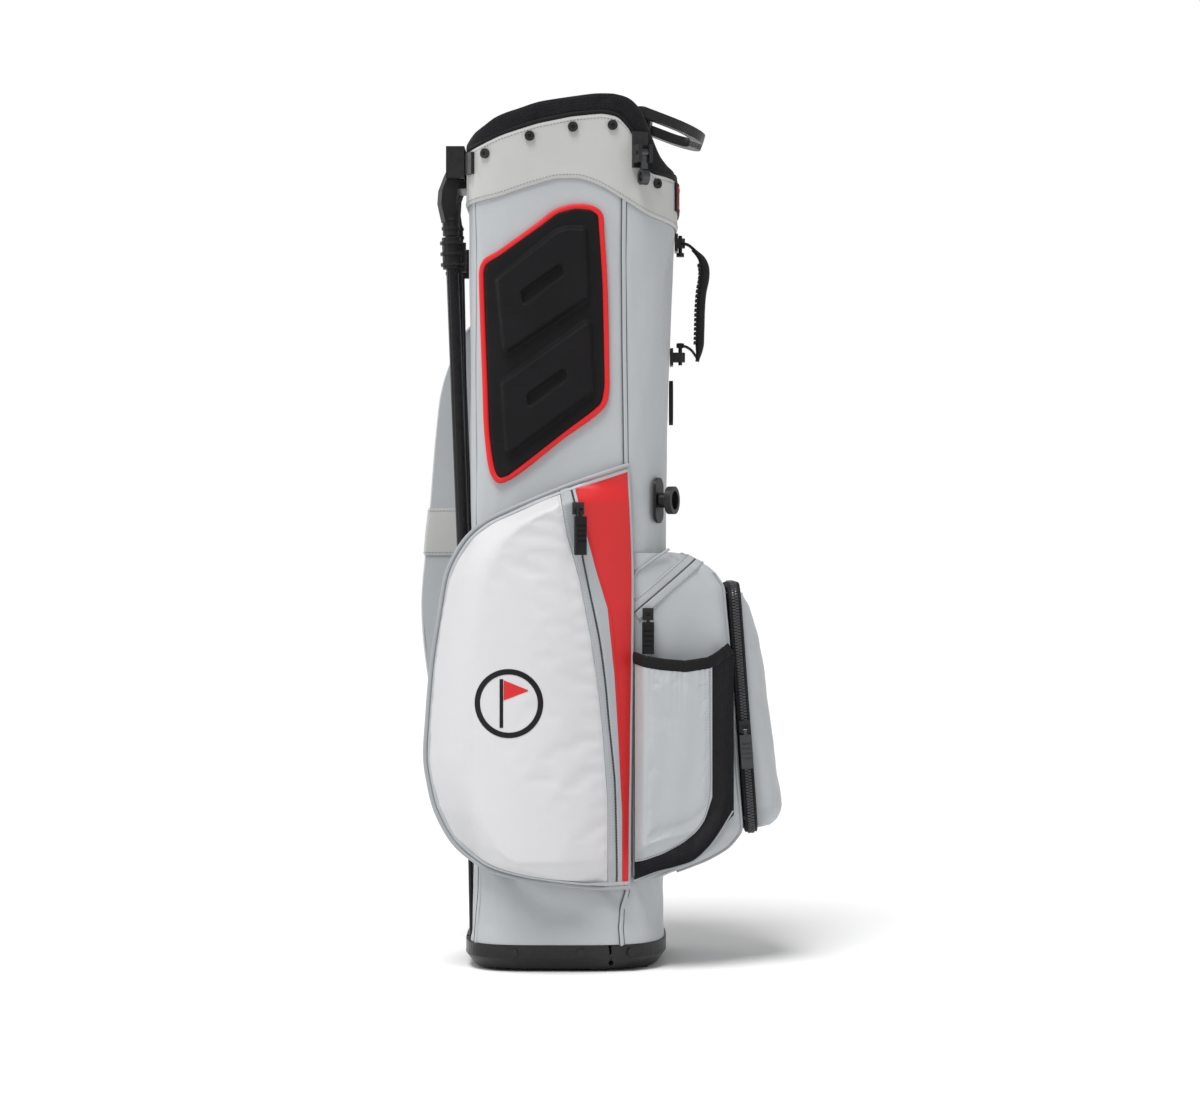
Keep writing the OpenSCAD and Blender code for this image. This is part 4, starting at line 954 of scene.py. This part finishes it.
def shrink(poly, d):
    """Polygon with its sides moved inwards by d."""
    p = np.array(poly, float)
    if np.sum(p[:, 0] * np.roll(p[:, 1], -1) - np.roll(p[:, 0], -1) * p[:, 1]) < 0:
        p = p[::-1]
    out = []
    for i in range(len(p)):
        a, b, c = p[i - 1], p[i], p[(i + 1) % len(p)]
        u, v = (b - a) / np.linalg.norm(b - a), (c - b) / np.linalg.norm(c - b)
        nu, nv = np.array([-u[1], u[0]]), np.array([-v[1], v[0]])
        s = nu + nv
        out.append(b + s * d / max(0.3, np.dot(s, nu)))
    return np.array(out)


def depth_in(poly, x, z):
    """Distance inside a polygon, negative outside."""
    p = np.array(poly, float)
    best = np.full(np.shape(x), 1e9)
    inside = np.zeros(np.shape(x), bool)
    for a, b in zip(p, np.roll(p, -1, 0)):
        d = b - a
        t = np.clip(((x - a[0]) * d[0] + (z - a[1]) * d[1]) / (d @ d), 0, 1)
        best = np.minimum(best, np.hypot(x - a[0] - t * d[0], z - a[1] - t * d[1]))
        if a[1] != b[1]:
            cross = (a[1] > z) != (b[1] > z)
            inside ^= cross & (x < a[0] + (z - a[1]) * d[0] / d[1])
    return np.where(inside, best, -best)


def hip_off(x, z):
    """How far the moulded pad stands off the body."""
    edge = depth_in(PAD_LOOP, x, z)
    h = 1.0 + 5.2 * ramp((edge - 1.5) / 5)
    for poly in BLOCKS:
        h = h + 7.0 * ramp((depth_in(shrink(poly, 7), x, z) + 7.0) / 5.5)
    for poly in SLOTS_XZ:
        h = h - 4.6 * ramp((depth_in(shrink(poly, 3), x, z) + 3.6) / 2.6)
    return h


PAD_LOOP = np.array(sorted(PAD_TOP) + sorted(PAD_LOW, reverse=True), float)
cols = -87 + 127 * (1 - np.cos(np.linspace(0, math.pi, 120))) / 2
share = (1 - np.cos(np.linspace(0, math.pi, 230))) / 2
share = 0.5 * share + 0.5 * np.linspace(0, 1, 230)
x = cols[None, :] + 0 * share[:, None]
z = mix(lookup(cols, PAD_LOW)[None, :] + 1.0, lookup(cols, PAD_TOP)[None, :] - 1.0, share[:, None])
off = hip_off(x, z)
outer = stack(x, -(body_y(x, z) + off), z)
inner = stack(x, -(body_y(x, z) + 0.4), z)
pad = slab("hip_cushion", outer, inner, sharp=60)
dress(pad, "black_foam", stands_for=["hip_pad"])

pad_path = spline(PAD_LOOP, 1.5, closed=True)
turn = np.sum(pad_path[:, 0] * np.roll(pad_path[:, 1], -1) - np.roll(pad_path[:, 0], -1) * pad_path[:, 1])
pad_path = inset2d(pad_path, 3.0 if turn > 0 else -3.0)
at, out = lay(body_y, pad_path, 2.2)
dress(sweep("hip_piping", at, out, round_profile(6.6, 5.2, 14, 2.3), closed=True), "red_piping",
      stands_for=["hip_pad_piping"])


# ---------------------------------------------------------------- near side pocket
def region(left, right, low, high, cols, rows, fn, side=-1, lift=0.0, crown=None):
    """Grid over a side surface between two edge tables of x by height."""
    v = (1 - np.cos(np.linspace(0, math.pi, rows))) / 2
    z = mix(low, high, v)[:, None]
    s = (1 - np.cos(np.linspace(0, math.pi, cols))) / 2
    l, r = lookup(z, left), lookup(z, right)
    x = l + (r - l) * s[None, :]
    z = z + 0 * x
    y = fn(x, z) + lift
    if crown is not None:
        y = y + crown(x, z)
    return stack(x, side * y, z)


def side_wrinkle(x, z):
    e = np.minimum(x - lookup(z, SIDE_BACK), 200)
    soft = 0.9 * ripple(x + 0.5 * z, z - 0.4 * x, 31, 150, 190)
    pull = 0.45 * ripple(x, z, 32, 60, 22) * np.exp(-np.maximum(0, lookup(z, SIDE_PANEL) - x) / 26)
    return (soft + pull) * ramp(e / 25) * ramp((z - 88) / 25) * ramp((481 - z) / 25) - 0.6


def face_slab(name, grid, thick, look, side=-1, stands_for=(), body="bag"):
    n = facing(normals_of(grid), [0, side, 0])
    return dress(slab(name, grid, grid - n * thick), look, body, stands_for)


PANEL_CUT = [(z, x - 0.6) for z, x in SIDE_PANEL]
flat_white = region(SIDE_BACK, PANEL_CUT, 88, 481.5, 90, 150, side_y, crown=side_wrinkle)
white = inflate(flat_white, border(flat_white), 3.5, (0, -1, 0), 4.0, 0.01)
white_swell = swell(flat_white, white, SIDE_BACK, PANEL_CUT, 88, 481.5, -1)
face_slab("side_pocket_face", white, 1.4, "white_nylon", stands_for=["side_pocket"])

edge_xz = np.array([(62, 84.5), (40, 85), (10, 87)] + [(x, z) for z, x in sorted(SIDE_BACK)[1:]]
                   + [(8, 489), (34, 498), (60, 507)], float)
edge_xz = spline(edge_xz, 2.5)


def gusset(name, path_xz, fn, back_y, look, side=-1, rows=9, bulge=3.0, body="bag"):
    """Strip that closes a pocket from the edge of its face back to the bag."""
    face, _ = lay(fn, path_xz, 0.0, side)
    back = stack(path_xz[:, 0], side * back_y(path_xz[:, 0], path_xz[:, 1]), path_xz[:, 1])
    t = np.gradient(path_xz, axis=0)
    t = unit(t)
    outwards = stack(t[:, 1], 0 * t[:, 0], -t[:, 0])
    mid = path_xz.mean(0)
    if np.sum(outwards[:, [0, 2]] * (path_xz - mid)) < 0:
        outwards = -outwards
    grid = np.array([mix(face, back, v) + outwards * bulge * math.sin(math.pi * v) * 0.6
                     for v in np.linspace(0, 1, rows)])
    return dress(slab(name, grid, grid - outwards[None] * 1.3), look, body)


gusset("side_pocket_gusset", edge_xz, side_y, lambda x, z: np.maximum(80, body_y(x, z)) + 0.8, "grey_nylon",
       bulge=1.6)
at, out = lay(side_y, edge_xz, 0.2)
dress(sweep("side_pocket_piping", at, out, round_profile(4.4, 4.4, 12)), "piping_grey")
inner_edge = inset2d(edge_xz, -4.4, closed=False)
at, out = lay(side_y, inner_edge, 0.35)
dress(sweep("side_pocket_binding", at, out, round_profile(4.2, 1.7, 12, 2.6)), "grey_nylon")


def pocket_back(name, table, low, high, floor_y, side):
    """Wall that closes a pocket towards the bag, where the pocket reaches past the bag's back."""
    z = np.linspace(low, high, 90)[:, None]
    s = np.linspace(0, 1, 24)[None, :]
    x = mix(lookup(z, table) + 0.4, -78.0, s)
    z = z + 0 * x
    y = soft_floor(body_y(x, z) + 1.0, floor_y, 4.0)
    grid = stack(x, side * y, z)
    return dress(slab(name, grid, grid + np.array([0, side * 1.4, 0])), "grey_nylon")


pocket_back("side_pocket_back", SIDE_BACK, 107, 431, 82.0, -1)
pocket_back("long_pocket_back", LONG_BACK, 106, 661, 84.0, 1)

ZIP_LINE = [(86, 48.6), (105, 48.8), (191, 46.8), (250, 41), (288, 37.6), (333, 31.6), (412, 15.4), (466, 7.6),
            (484, 3)]
tape_left = region(SIDE_PANEL, [(z, x - 0.5) for z, x in ZIP_LINE], 86, 484, 14, 120, side_y,
                   crown=lambda x, z: 0.5 - 1.3 * ramp(1 - (lookup(z, ZIP_LINE) - x) / 2.4))
face_slab("side_zip_tape_left", tape_left, 1.2, "zip_tape", stands_for=["side_zip_tape"])
tape_right = region([(z, x + 0.5) for z, x in ZIP_LINE], SIDE_TAPE, 86, 484, 12, 120, side_y,
                    crown=lambda x, z: 0.5 - 1.3 * ramp(1 - (x - lookup(z, ZIP_LINE)) / 2.4))
face_slab("side_zip_tape_right", tape_right, 1.2, "zip_tape")


COIL_STEP = 1.5


def coil_zip(name, path_xz, fn, side=-1, lift=-0.9, body="bag", look="dark_tooth"):
    """Reverse coil: a dark cord of fine turns in the slit between two tapes."""
    at, out = lay(fn, path_xz, lift, side)
    turns = block(0.9, 2.2, 1.0)
    return dress(scatter(name, *turns, resample(at, COIL_STEP), *resampled_frames(at, out, COIL_STEP)), look, body)


def resampled_frames(at, out, step):
    both = resample(np.concatenate([at, out * 1e-6], axis=1), step)
    n = both[:, 3:]
    n = n / np.maximum(1e-12, np.linalg.norm(n, axis=1, keepdims=True))
    pts2 = resample(at, step)
    n = n[:len(pts2)]
    if len(n) < len(pts2):
        n = np.concatenate([n, np.repeat(n[-1:], len(pts2) - len(n), 0)])
    return frames(pts2, n)


zip_path = spline([(x, z) for z, x in ZIP_LINE], 1.5)
coil_zip("side_zip_coil", zip_path, side_y)
accent = region([(z, x + 0.3) for z, x in SIDE_TAPE], SIDE_SEAM, 86, 484, 22, 130, side_y,
                crown=lambda x, z: 0.7 + 0.5 * ripple(x, z, 41, 60, 120) * ramp((x - lookup(z, SIDE_TAPE)) / 8))
face_slab("side_accent_face", accent, 1.3, "red_nylon", stands_for=["side_accent"])
top_z = lambda x: lookup(x, [(7, 484), (20, 491), (34, 497), (60, 506)])
s = np.linspace(0, 1, 24)[None, :]
v = np.linspace(0, 1, 14)[:, None]
x = mix(lookup(484, SIDE_TAPE), 60.5, s) + 0 * v
z = mix(484.0, top_z(x), v)
face_slab("side_accent_top", stack(x, -(side_y(x, z) + 0.7), z), 1.3, "red_nylon")
for name, table, shift, look in (("side_thread_tape", SIDE_PANEL, 2.2, "white_thread"),
                                 ("side_thread_white", SIDE_PANEL, -2.6, "white_thread"),
                                 ("side_thread_red", SIDE_TAPE, 2.2, "red_piping")):
    line = spline([(x + shift, z) for z, x in sorted(table)], 2.0)
    at, out = lay(side_y, line, 0.75)
    dress(stitches(name, at, out, pitch=3.2, long=2.2), look)
seam_line = spline([(x, z) for z, x in sorted(SIDE_SEAM)], 2.5)
at, out = lay(side_y, seam_line, 0.6)
dress(sweep("side_seam_piping", at, out, round_profile(3.0, 3.0, 10)), "piping_grey")

# Printed roundel: a plain ring with a pennant on a pole
ROUNDEL = (-57.8, 270.9)


def print_on(name, outline_xz, look, fn=side_y, lift=0.35, side=-1):
    """Flat print: rings of (x, z) from the outside in, laid on a surface."""
    grid = np.array([lay(fn, ring, lift, side)[0] for ring in outline_xz])
    n = facing(normals_of(grid, True), [0, side, 0])
    return dress(slab(name, grid, grid - n * 0.5, wrap=True), look)


def circle(r, count=96):
    a = np.linspace(0, 2 * math.pi, count, endpoint=False)
    return np.stack([ROUNDEL[0] + r * np.cos(a), ROUNDEL[1] + r * np.sin(a)], -1)


printed = lambda x, z: side_y(x, z) + side_wrinkle(x, z) + white_swell(x, z)
print_on("roundel_ring", [circle(r) for r in (34.0, 32, 30.6, 28.6)], "black_rubber", printed)


def quad_print(name, corners, look, count=18):
    p = np.array(corners, float)
    s = np.linspace(0, 1, count)
    low = mix(p[0], p[1], s[:, None])
    high = mix(p[3], p[2], s[:, None])
    xz = np.array([mix(low, high, t) for t in np.linspace(0, 1, 8)]) + ROUNDEL
    at, n = lay(printed, xz, 0.35)
    return dress(slab(name, at, at - n * 0.5), look)


quad_print("roundel_pole", [(-9, -24), (-5.5, -24), (-5.5, 24), (-9, 24)], "black_rubber")
quad_print("roundel_pennant", [(-5, 3), (19, 12.2), (19, 13.4), (-5, 23)], "red_nylon")

# ---------------------------------------------------------------- far side pocket
def long_wrinkle(x, z):
    e = np.minimum(x - lookup(z, LONG_BACK), LONG_FRONT - x)
    return (1.6 * ripple(x + 0.5 * z, z, 51, 120, 170) + 0.6 * ripple(x, z, 52, 40, 60)) * ramp(e / 30) \
        * ramp((z - 94) / 30) * ramp((662 - z) / 30) - 0.8


LONG_CUT = [(94, LONG_FRONT), (662, LONG_FRONT)]
long_flat = region(LONG_BACK, LONG_CUT, 94, 662, 76, 170, long_y, side=1, crown=long_wrinkle)
long_face = inflate(long_flat, border(long_flat), 3.0, (0, 1, 0))
long_swell = swell(long_flat, long_face, LONG_BACK, LONG_CUT, 94, 662, 1)
long_skin = lambda x, z: long_y(x, z) + long_wrinkle(x, z) + long_swell(x, z)
face_slab("long_pocket_face", long_face, 1.4, "grey_nylon", side=1, stands_for=["long_pocket"])
long_edge = spline([(LONG_FRONT, 93.5), (0, 93.5), (-40, 93.5)] + [(x, z) for z, x in sorted(LONG_BACK)]
                   + [(-70, 662.5), (-20, 662.5), (LONG_FRONT, 662.5)], 3.0)
gusset("long_pocket_gusset", long_edge, long_y, lambda x, z: np.maximum(83, body_y(x, z)) + 0.8, "grey_nylon",
       side=1, bulge=2.0)
at, out = lay(long_y, long_edge, 0.2, 1)
dress(sweep("long_pocket_piping", at, out, round_profile(4.4, 4.4, 12)), "piping_grey")
at, out = lay(long_y, np.stack([np.full(200, LONG_FRONT), np.linspace(93, 662, 200)], -1), 0.4, 1)
dress(sweep("long_pocket_seam", at, out, round_profile(3.4, 2.4, 10)), "piping_grey")
long_zip = np.stack([np.zeros(400), np.linspace(130, 628, 400)], -1)
for k, shift in enumerate((-4.6, 4.6)):
    at, out = lay(long_skin, long_zip + [shift, 0], 0.5, 1)
    dress(sweep(f"long_zip_tape_{k}", at, out, round_profile(8.0, 1.4, 12, 3)), "zip_tape")
coil_zip("long_zip_coil", long_zip, long_skin, side=1, lift=0.2)

STRAP_OUT = [(45, 90), (35, 90), (25, 95), (15, 100), (8, 108), (3, 122), (0, 140)]


def strap_points(z, off):
    """The band's path at one height: over the pocket's face, round its back edge and in behind it."""
    x0 = float(lookup(z, LONG_BACK))
    y0 = float(long_y(x0, z))
    pts = [(x0 + d, float(long_y(x0 + d, z)), a) for d, a in STRAP_OUT]
    pts += [(x0, mix(y0, 85, 0.3), 180), (x0, mix(y0, 85, 0.7), 180), (x0, 85, 225), (x0 + 3, 85, 262)]
    pts += [(x0 + d, 85, 270) for d in range(8, 41, 8)]
    pts = np.array([(px + off * math.cos(math.radians(a)), py + off * math.sin(math.radians(a)))
                    for px, py, a in pts])
    smooth = spline(pts, 1.0)
    at = np.linspace(0, 1, 90)
    run = np.linspace(0, 1, len(smooth))
    return stack(np.interp(at, run, smooth[:, 0]), np.interp(at, run, smooth[:, 1]), z)


levels = np.linspace(416.5, 466.5, 18)
plump = 0.9 * np.sin(math.pi * np.linspace(0, 1, 18)) ** 0.5
band = np.array([strap_points(z, 2.6 + w) for z, w in zip(levels, plump)])
dress(slab("leg_tie_band", band, np.array([strap_points(z, 1.1) for z in levels])), "grey_leatherette",
      stands_for=["leg_strap"])
for k, row in enumerate((1, 16)):
    at = band[row]
    out = at - strap_points(levels[row], 0.0)
    dress(stitches(f"leg_tie_thread_{k}", at, unit(out)), "grey_thread")


# ---------------------------------------------------------------- ball pocket
def ball_loop_points(z, count_side=26, count_corner=12, count_front=26):
    xf = eased(z, BALL_FRONT, 6)
    r = min(BALL_CORNER, (xf - BALL_SEAM) / 3)
    yf = ball_side(xf, z)
    pts = []
    for s in np.linspace(0, 1, count_side, endpoint=False):
        x = mix(BALL_SEAM, xf - r, s)
        y = ball_side(x, z)
        pts.append((x, -mix(y, yf, s**3)))
    for k in range(count_corner + 1):
        a = math.radians(-90 + 90 * k / count_corner)
        pts.append((xf - r + r * math.cos(a), -yf + r + r * math.sin(a)))
    for s in np.linspace(0, 1, count_front + 2)[1:-1]:
        pts.append((xf, mix(-yf + r, yf - r, s)))
    for k in range(count_corner + 1):
        a = math.radians(90 * k / count_corner)
        pts.append((xf - r + r * math.cos(a), yf - r + r * math.sin(a)))
    for s in np.linspace(1, 0, count_side + 1)[1:]:
        x = mix(BALL_SEAM, xf - r, s)
        y = ball_side(x, z)
        pts.append((x, mix(y, yf, s**3)))
    return np.array([(px, py, float(z)) for px, py in pts])


ball_z = np.concatenate([np.linspace(92, 145, 26), np.linspace(149, 380, 60), np.linspace(383, 419, 26)])
ball = np.array([ball_loop_points(z) for z in ball_z])
n = facing(normals_of(ball), ball - ball.mean((0, 1)))
soft = 0.9 * ripple(ball[..., 0] + ball[..., 1], ball[..., 2], 61, 80, 110) - 0.9
ball = ball + n * (soft * ramp((ball[..., 0] - BALL_SEAM) / 20))[..., None]
dress(slab("ball_pocket_shell", ball, ball - n * 1.6), "grey_nylon", stands_for=["ball_pocket"])
for name, row, sgn in (("ball_pocket_lid", -1, 1), ("ball_pocket_floor", 0, -1)):
    edge = ball[row]
    half = len(edge) // 2
    a, b = edge[:half + 1], edge[::-1][:half + 1]
    lid = np.array([mix(a, b, t) for t in np.linspace(0, 1, 24)])
    lift = np.sin(math.pi * np.linspace(0, 1, 24))[:, None] * np.ones(half + 1)[None, :]
    lid[..., 2] += sgn * 1.2 * lift - sgn * 0.6
    dress(slab(name, lid, lid - [0, 0, sgn * 1.4]), "grey_nylon")


def slice_grid(grid, value):
    """Where value(points) changes sign along each column of a grid."""
    f = value(grid)
    out = []
    for j in range(grid.shape[1]):
        hit = np.where(np.sign(f[:-1, j]) != np.sign(f[1:, j]))[0]
        if len(hit):
            i = hit[-1]
            t = f[i, j] / (f[i, j] - f[i + 1, j])
            out.append((j, mix(grid[i, j], grid[i + 1, j], t), mix(n[i, j], n[i + 1, j], t)))
    return np.array([p for _, p, _ in out]), np.array([q for _, _, q in out])


line, out = slice_grid(ball, lambda p: p[..., 2] - (366 + 0.86 * (p[..., 0] - 74)))
both = spline(np.concatenate([line, out * 1e-6], 1), 1.5)
line, out = both[:, :3], unit(both[:, 3:])
t, b, nn = frames(line, out)
for k, shift in enumerate((-5.0, 5.0)):
    dress(sweep(f"ball_zip_tape_{k}", line + b * shift + out * 0.5, out, round_profile(9.4, 1.5, 12, 3)),
          "zip_tape")
    dress(stitches(f"ball_zip_thread_{k}", line + b * shift * 1.65 + out * 1.2, out, pitch=3.2), "grey_thread")
dress(scatter("ball_zip_coil", *block(0.9, 2.4, 1.0), line, *frames(line, out)), "dark_tooth")

for side in (-1, 1):
    tag = "near" if side < 0 else "far"
    col = 26 + 8 if side < 0 else ball.shape[1] - 1 - (26 + 8)
    edge = ball[:, col] + n[:, col] * 0.6
    keep = (edge[:, 2] > 98) & (edge[:, 2] < 400)
    path = spline(np.concatenate([edge[keep], n[keep, col] * 1e-6], 1), 2.5)
    out = unit(path[:, 3:])
    dress(sweep(f"ball_pocket_piping_{tag}", path[:, :3], out, round_profile(3.2, 3.2, 10)), "piping_grey")
    join = spline([(66, 96), (65, 200), (65.5, 330), (66, 396), (78, 407), (101, 423)], 2.5)
    at, out = lay(lambda x, z: np.maximum(ball_side(x, z), body_y(x, z)), join, 0.6, side)
    dress(sweep(f"ball_join_piping_{tag}", at, out, round_profile(3.0, 3.0, 10)), "piping_grey")

# ---------------------------------------------------------------- bottle sleeve
SLEEVE_RIM = [(66, 311), (80, 307), (95, 304.5), (117, 302.5), (141, 306), (152, 312), (163, 320)]
GREY_LOW = [(66, 110), (80, 114), (95, 119), (115, 130), (130, 143), (138, 155), (142, 168), (144, 182)]


def sleeve_out(x, z):
    """Outer face of the sleeve, gathered under its elastic rim."""
    rim = eased(x, SLEEVE_RIM, 7)
    gather = (0.4 * np.sin(x * 0.9 + 2.2 * np.sin(x * 0.23)) + 0.35 * ripple(x, 0 * x, 72, 17, 40)) \
        * np.exp(-np.maximum(0, rim - z) / 20)
    edge = ramp((x - 67) / 8) * ramp((166 - x) / 10)
    soft = 1.2 * ripple(x, z, 71, 46, 120) * ramp((z - lookup(x, SLEEVE_LOW)) / 30)
    return sleeve_y(x, np.minimum(z, 306)) + 2.2 + (gather + soft) * edge


x = np.linspace(66.5, 166.5, 110)[None, :]
v = np.linspace(0, 1, 110)[:, None]
z = mix(eased(x, SLEEVE_LOW, 9) - 2.0, eased(x, SLEEVE_RIM, 7) + 2.0, v)
x = x + 0 * v
grid = stack(x, -sleeve_out(x, z), z)
face_slab("sleeve_gusset", grid, 1.3, "black_mesh", stands_for=["bottle_sleeve"])
x = np.linspace(66.8, 144, 96)[None, :]
v = np.linspace(0, 1, 120)[:, None]
z = mix(eased(x, GREY_LOW, 6), eased(x, SLEEVE_RIM, 7) + 1.0, v)
x = x + 0 * v
grid = stack(x, -(sleeve_out(x, z) + 0.9), z)
grid = inflate(grid, border(grid, 2), 2.4, (0, -1, 0), 4.0, 0.02, least=0.0)
face_slab("sleeve_front", grid, 1.2, "grey_nylon")
thread = [(70, 113.5), (95, 121.5), (115, 132.5), (128, 144.5), (136, 157), (139.5, 170), (141.3, 185), (141.3, 240),
          (141, 300)]
at, out = lay(sleeve_out, spline(thread, 2.0), 1.05)
dress(stitches("sleeve_thread_low", at, out, pitch=3.2), "grey_thread")
rim_path = np.stack([np.linspace(65.5, 165, 130), lookup(np.linspace(65.5, 165, 130), SLEEVE_RIM) + 3.5], -1)
rim_path = spline(rim_path[::6], 1.6)
at, out = lay(sleeve_out, rim_path, -0.2)
dress(sweep("sleeve_rim", at, out, round_profile(12.0, 4.2, 16, 3.0)), "black_fabric", stands_for=["sleeve_binding"])
low_path = spline([(66, 91), (87, 99), (108, 104), (126, 110), (140, 122), (151, 136), (166, 160)], 2.2)
at, out = lay(lambda x, z: ball_side(x, z) + 1.4, low_path, 0.6)
dress(sweep("sleeve_low_piping", at, out, round_profile(3.0, 3.0, 10)), "piping_grey")

# ---------------------------------------------------------------- front panel and its zip
tilt = math.radians(ZIP_TILT)
U = np.array([-math.sin(tilt), 0, math.cos(tilt)])
C = np.array([ZIP_X, 0, ZIP_Z])


def zip_ring(half_y, half_u, r, step=1.5):
    pts = []
    for cy, cu, a0 in ((half_y - r, half_u - r, 0), (-(half_y - r), half_u - r, 90),
                       (-(half_y - r), -(half_u - r), 180), (half_y - r, -(half_u - r), 270)):
        for a in np.radians(np.linspace(a0, a0 + 90, 9)):
            pts.append((cy + r * math.cos(a), cu + r * math.sin(a)))
    p = np.array(pts + pts[:1])
    p = resample(p, step)[:-1]
    at = C + p[:, :1] * [0, 1, 0] + p[:, 1:] * U
    d = np.roll(p, -1, 0) - np.roll(p, 1, 0)
    d = unit(d)
    out = d[:, 1:] * [0, 1, 0] - d[:, :1] * U
    return at, out


at, out = zip_ring(68.0, 124.5, 21)
dress(sweep("panel_zip_tape", at, out, round_profile(13.0, 5.5, 20, 4.0), closed=True), "black_zip",
      stands_for=["panel_zip"])
at, out = zip_ring(70.6, 127.0, 23.5, 2.9)
t, b, n2 = frames(at, out, True)
for k, shift in enumerate((-1.55, 1.55)):
    turn = t * (0.5 if k else -0.5)
    dress(scatter(f"panel_zip_teeth_{k}", *block(1.9, 3.4, 1.5), at + b * shift + turn * 1.4, t, b, n2),
          "dark_tooth")
for k, shift in enumerate((-5.2, 5.2)):
    at2, out2 = zip_ring(70.6, 127.0, 23.5, 2.0)
    _, b2, _ = frames(at2, out2, True)
    dress(stitches(f"panel_zip_thread_{k}", at2 + b2 * shift, out2, closed=True), "black_thread")

rows = []
for z in np.concatenate([np.linspace(140, 165, 18), np.linspace(169, 352, 60), np.linspace(355, 378, 16)]):
    w = 60.5 - 10 * (1 - ramp((z - 142) / 20)) - 10 * ramp((z - 350) / 26)
    x0 = ZIP_X + (ZIP_Z - z) * math.tan(tilt) - 6
    x1 = float(eased(z, FRONT_PANEL, 5)) - 3 * float(ramp((z - 366) / 12))
    a = np.radians(np.linspace(-90, 90, 61))
    rows.append(stack(x0 + 5 + (x1 - x0 - 5) * np.abs(np.cos(a)) ** 0.5, w * spow(np.sin(a), 0.8), z))
front = np.array(rows)
n3 = facing(normals_of(front), [1, 0, 0])
push = (1.1 * ripple(front[..., 1], front[..., 2], 81, 70, 90) + 0.5 * ripple(front[..., 1], front[..., 2], 82, 30, 40)
        - 1.0) * ramp((front[..., 0] - 180) / 14)
front = front + n3 * push[..., None]
front = inflate(front, border(front), 3.0, (1, 0, 0))
dress(slab("front_panel_cover", front, front - n3 * 1.5), "grey_nylon", stands_for=["front_panel"])
for name, row, s in (("front_panel_top", -1, 1), ("front_panel_foot", 0, -1)):
    edge = front[row]
    back = edge.copy()
    back[:, 0] = edge[:, 0].min() - 2
    lid = np.array([mix(edge, back, t) for t in np.linspace(0, 1, 10)])
    dress(slab(name, lid, lid - [0, 0, s * 1.4]), "grey_nylon")

# ---------------------------------------------------------------- spine grip
grip_path = spline([(132.5, 617), (134.6, 628), (135.6, 650), (136.2, 672), (137.6, 690), (139.8, 703),
                    (140.0, 713), (137.0, 723), (128, 733)], 1.6)
at = stack(grip_path[:, 0], 0.0, grip_path[:, 1])
d = np.gradient(grip_path, axis=0)
d = unit(d)
out = stack(d[:, 1], 0.0, -d[:, 0])
s = np.linspace(0, 1, len(at))
body_scale = 0.45 + 0.55 * np.minimum(ramp(s / 0.16), ramp((1 - s) / 0.2))
palm = 1 + 0.18 * np.exp(-(((s - 0.72) / 0.13) ** 2))
dress(sweep("spine_grip_handle", at, out, round_profile(24, 9.0, 24, 2.8),
            scale=np.stack([body_scale, body_scale * palm], -1)), "black_rubber", "grip", ["spine_grip"])
teeth = np.arange(int(len(at) * 0.16), int(len(at) * 0.86), 3)
t, b, nn = frames(at, out)
dress(scatter("spine_grip_teeth", *block(2.4, 20, 3.2), at[teeth] - nn[teeth] * 3.2, t[teeth], b[teeth],
              -nn[teeth]), "black_rubber", "grip")
for name, pts in (("spine_grip_web_top", [(115.5, 738), (119, 738.5), (123, 737.5), (129, 733)]),
                  ("spine_grip_web_low", [(116, 633), (120, 632.5), (126, 629), (132, 621)])):
    p = spline(pts, 1.0)
    at = stack(p[:, 0], 0.0, p[:, 1])
    d = np.gradient(p, axis=0)
    d = unit(d)
    dress(sweep(name, at, stack(d[:, 1], 0.0, -d[:, 0]), round_profile(14, 2.4, 14, 3.4)), "black_fabric", "grip")

for name, low, high, mid in (("spine_grip_pin_low", 613, 636, 633.2), ("spine_grip_pin_top", 725, 747, 726.8)):
    z = np.arange(low, high + 0.1, 0.5)
    wide = 1 + 1.0 * (np.abs(z - mid) < 2.4)
    at = stack(115.0 + 0 * z, 0.0, z)
    dress(sweep(name, at, np.repeat([[1.0, 0, 0]], len(z), 0), round_profile(4, 4, 16), scale=wide),
          "black_plastic", "grip")

# ---------------------------------------------------------------- dividers
for name, a, b2, wide in (("divider_bar_long", (-90, 0), (97, 0), 9.5), ("divider_bar_cross", (2, -94), (2, 94), 10.5)):
    p = resample(np.array([a, b2], float), 3.0)
    at = stack(p[:, 0], p[:, 1], 777.0)
    out = np.repeat([[0.0, 0.0, 1.0]], len(at), 0)
    puff = 1 + 0.02 * ripple(np.arange(len(at)) * 3.0, np.zeros(len(at)), 91, 30, 30)
    stands = ["divider_top"] if "long" in name else []
    piece = dress(sweep(name, at, out, round_profile(wide, 38, 22, 3.0), scale=puff), "black_fabric",
                  stands_for=stands)
u = np.linspace(0, 1, 40)[None, :]
v = np.linspace(0, 1, 50)[:, None]
z = mix(100.5, 759.0, v) + 0 * u
x = mix(-80, 90, u) + 0 * v
wave = 0.45 * ripple(x, z, 95, 90, 200)
for name, grid, stands in (("divider_sheet_long", stack(x, wave + 0.5, z), ["divider_panels"]),
                           ("divider_sheet_cross", stack(2 + wave + 0.5, mix(-98, 98, u) + 0 * v, z), [])):
    axis = [0, 1, 0] if "long" in name else [1, 0, 0]
    dress(slab(name, grid, grid - np.array(axis) * 1.0), "black_fabric", stands_for=stands)
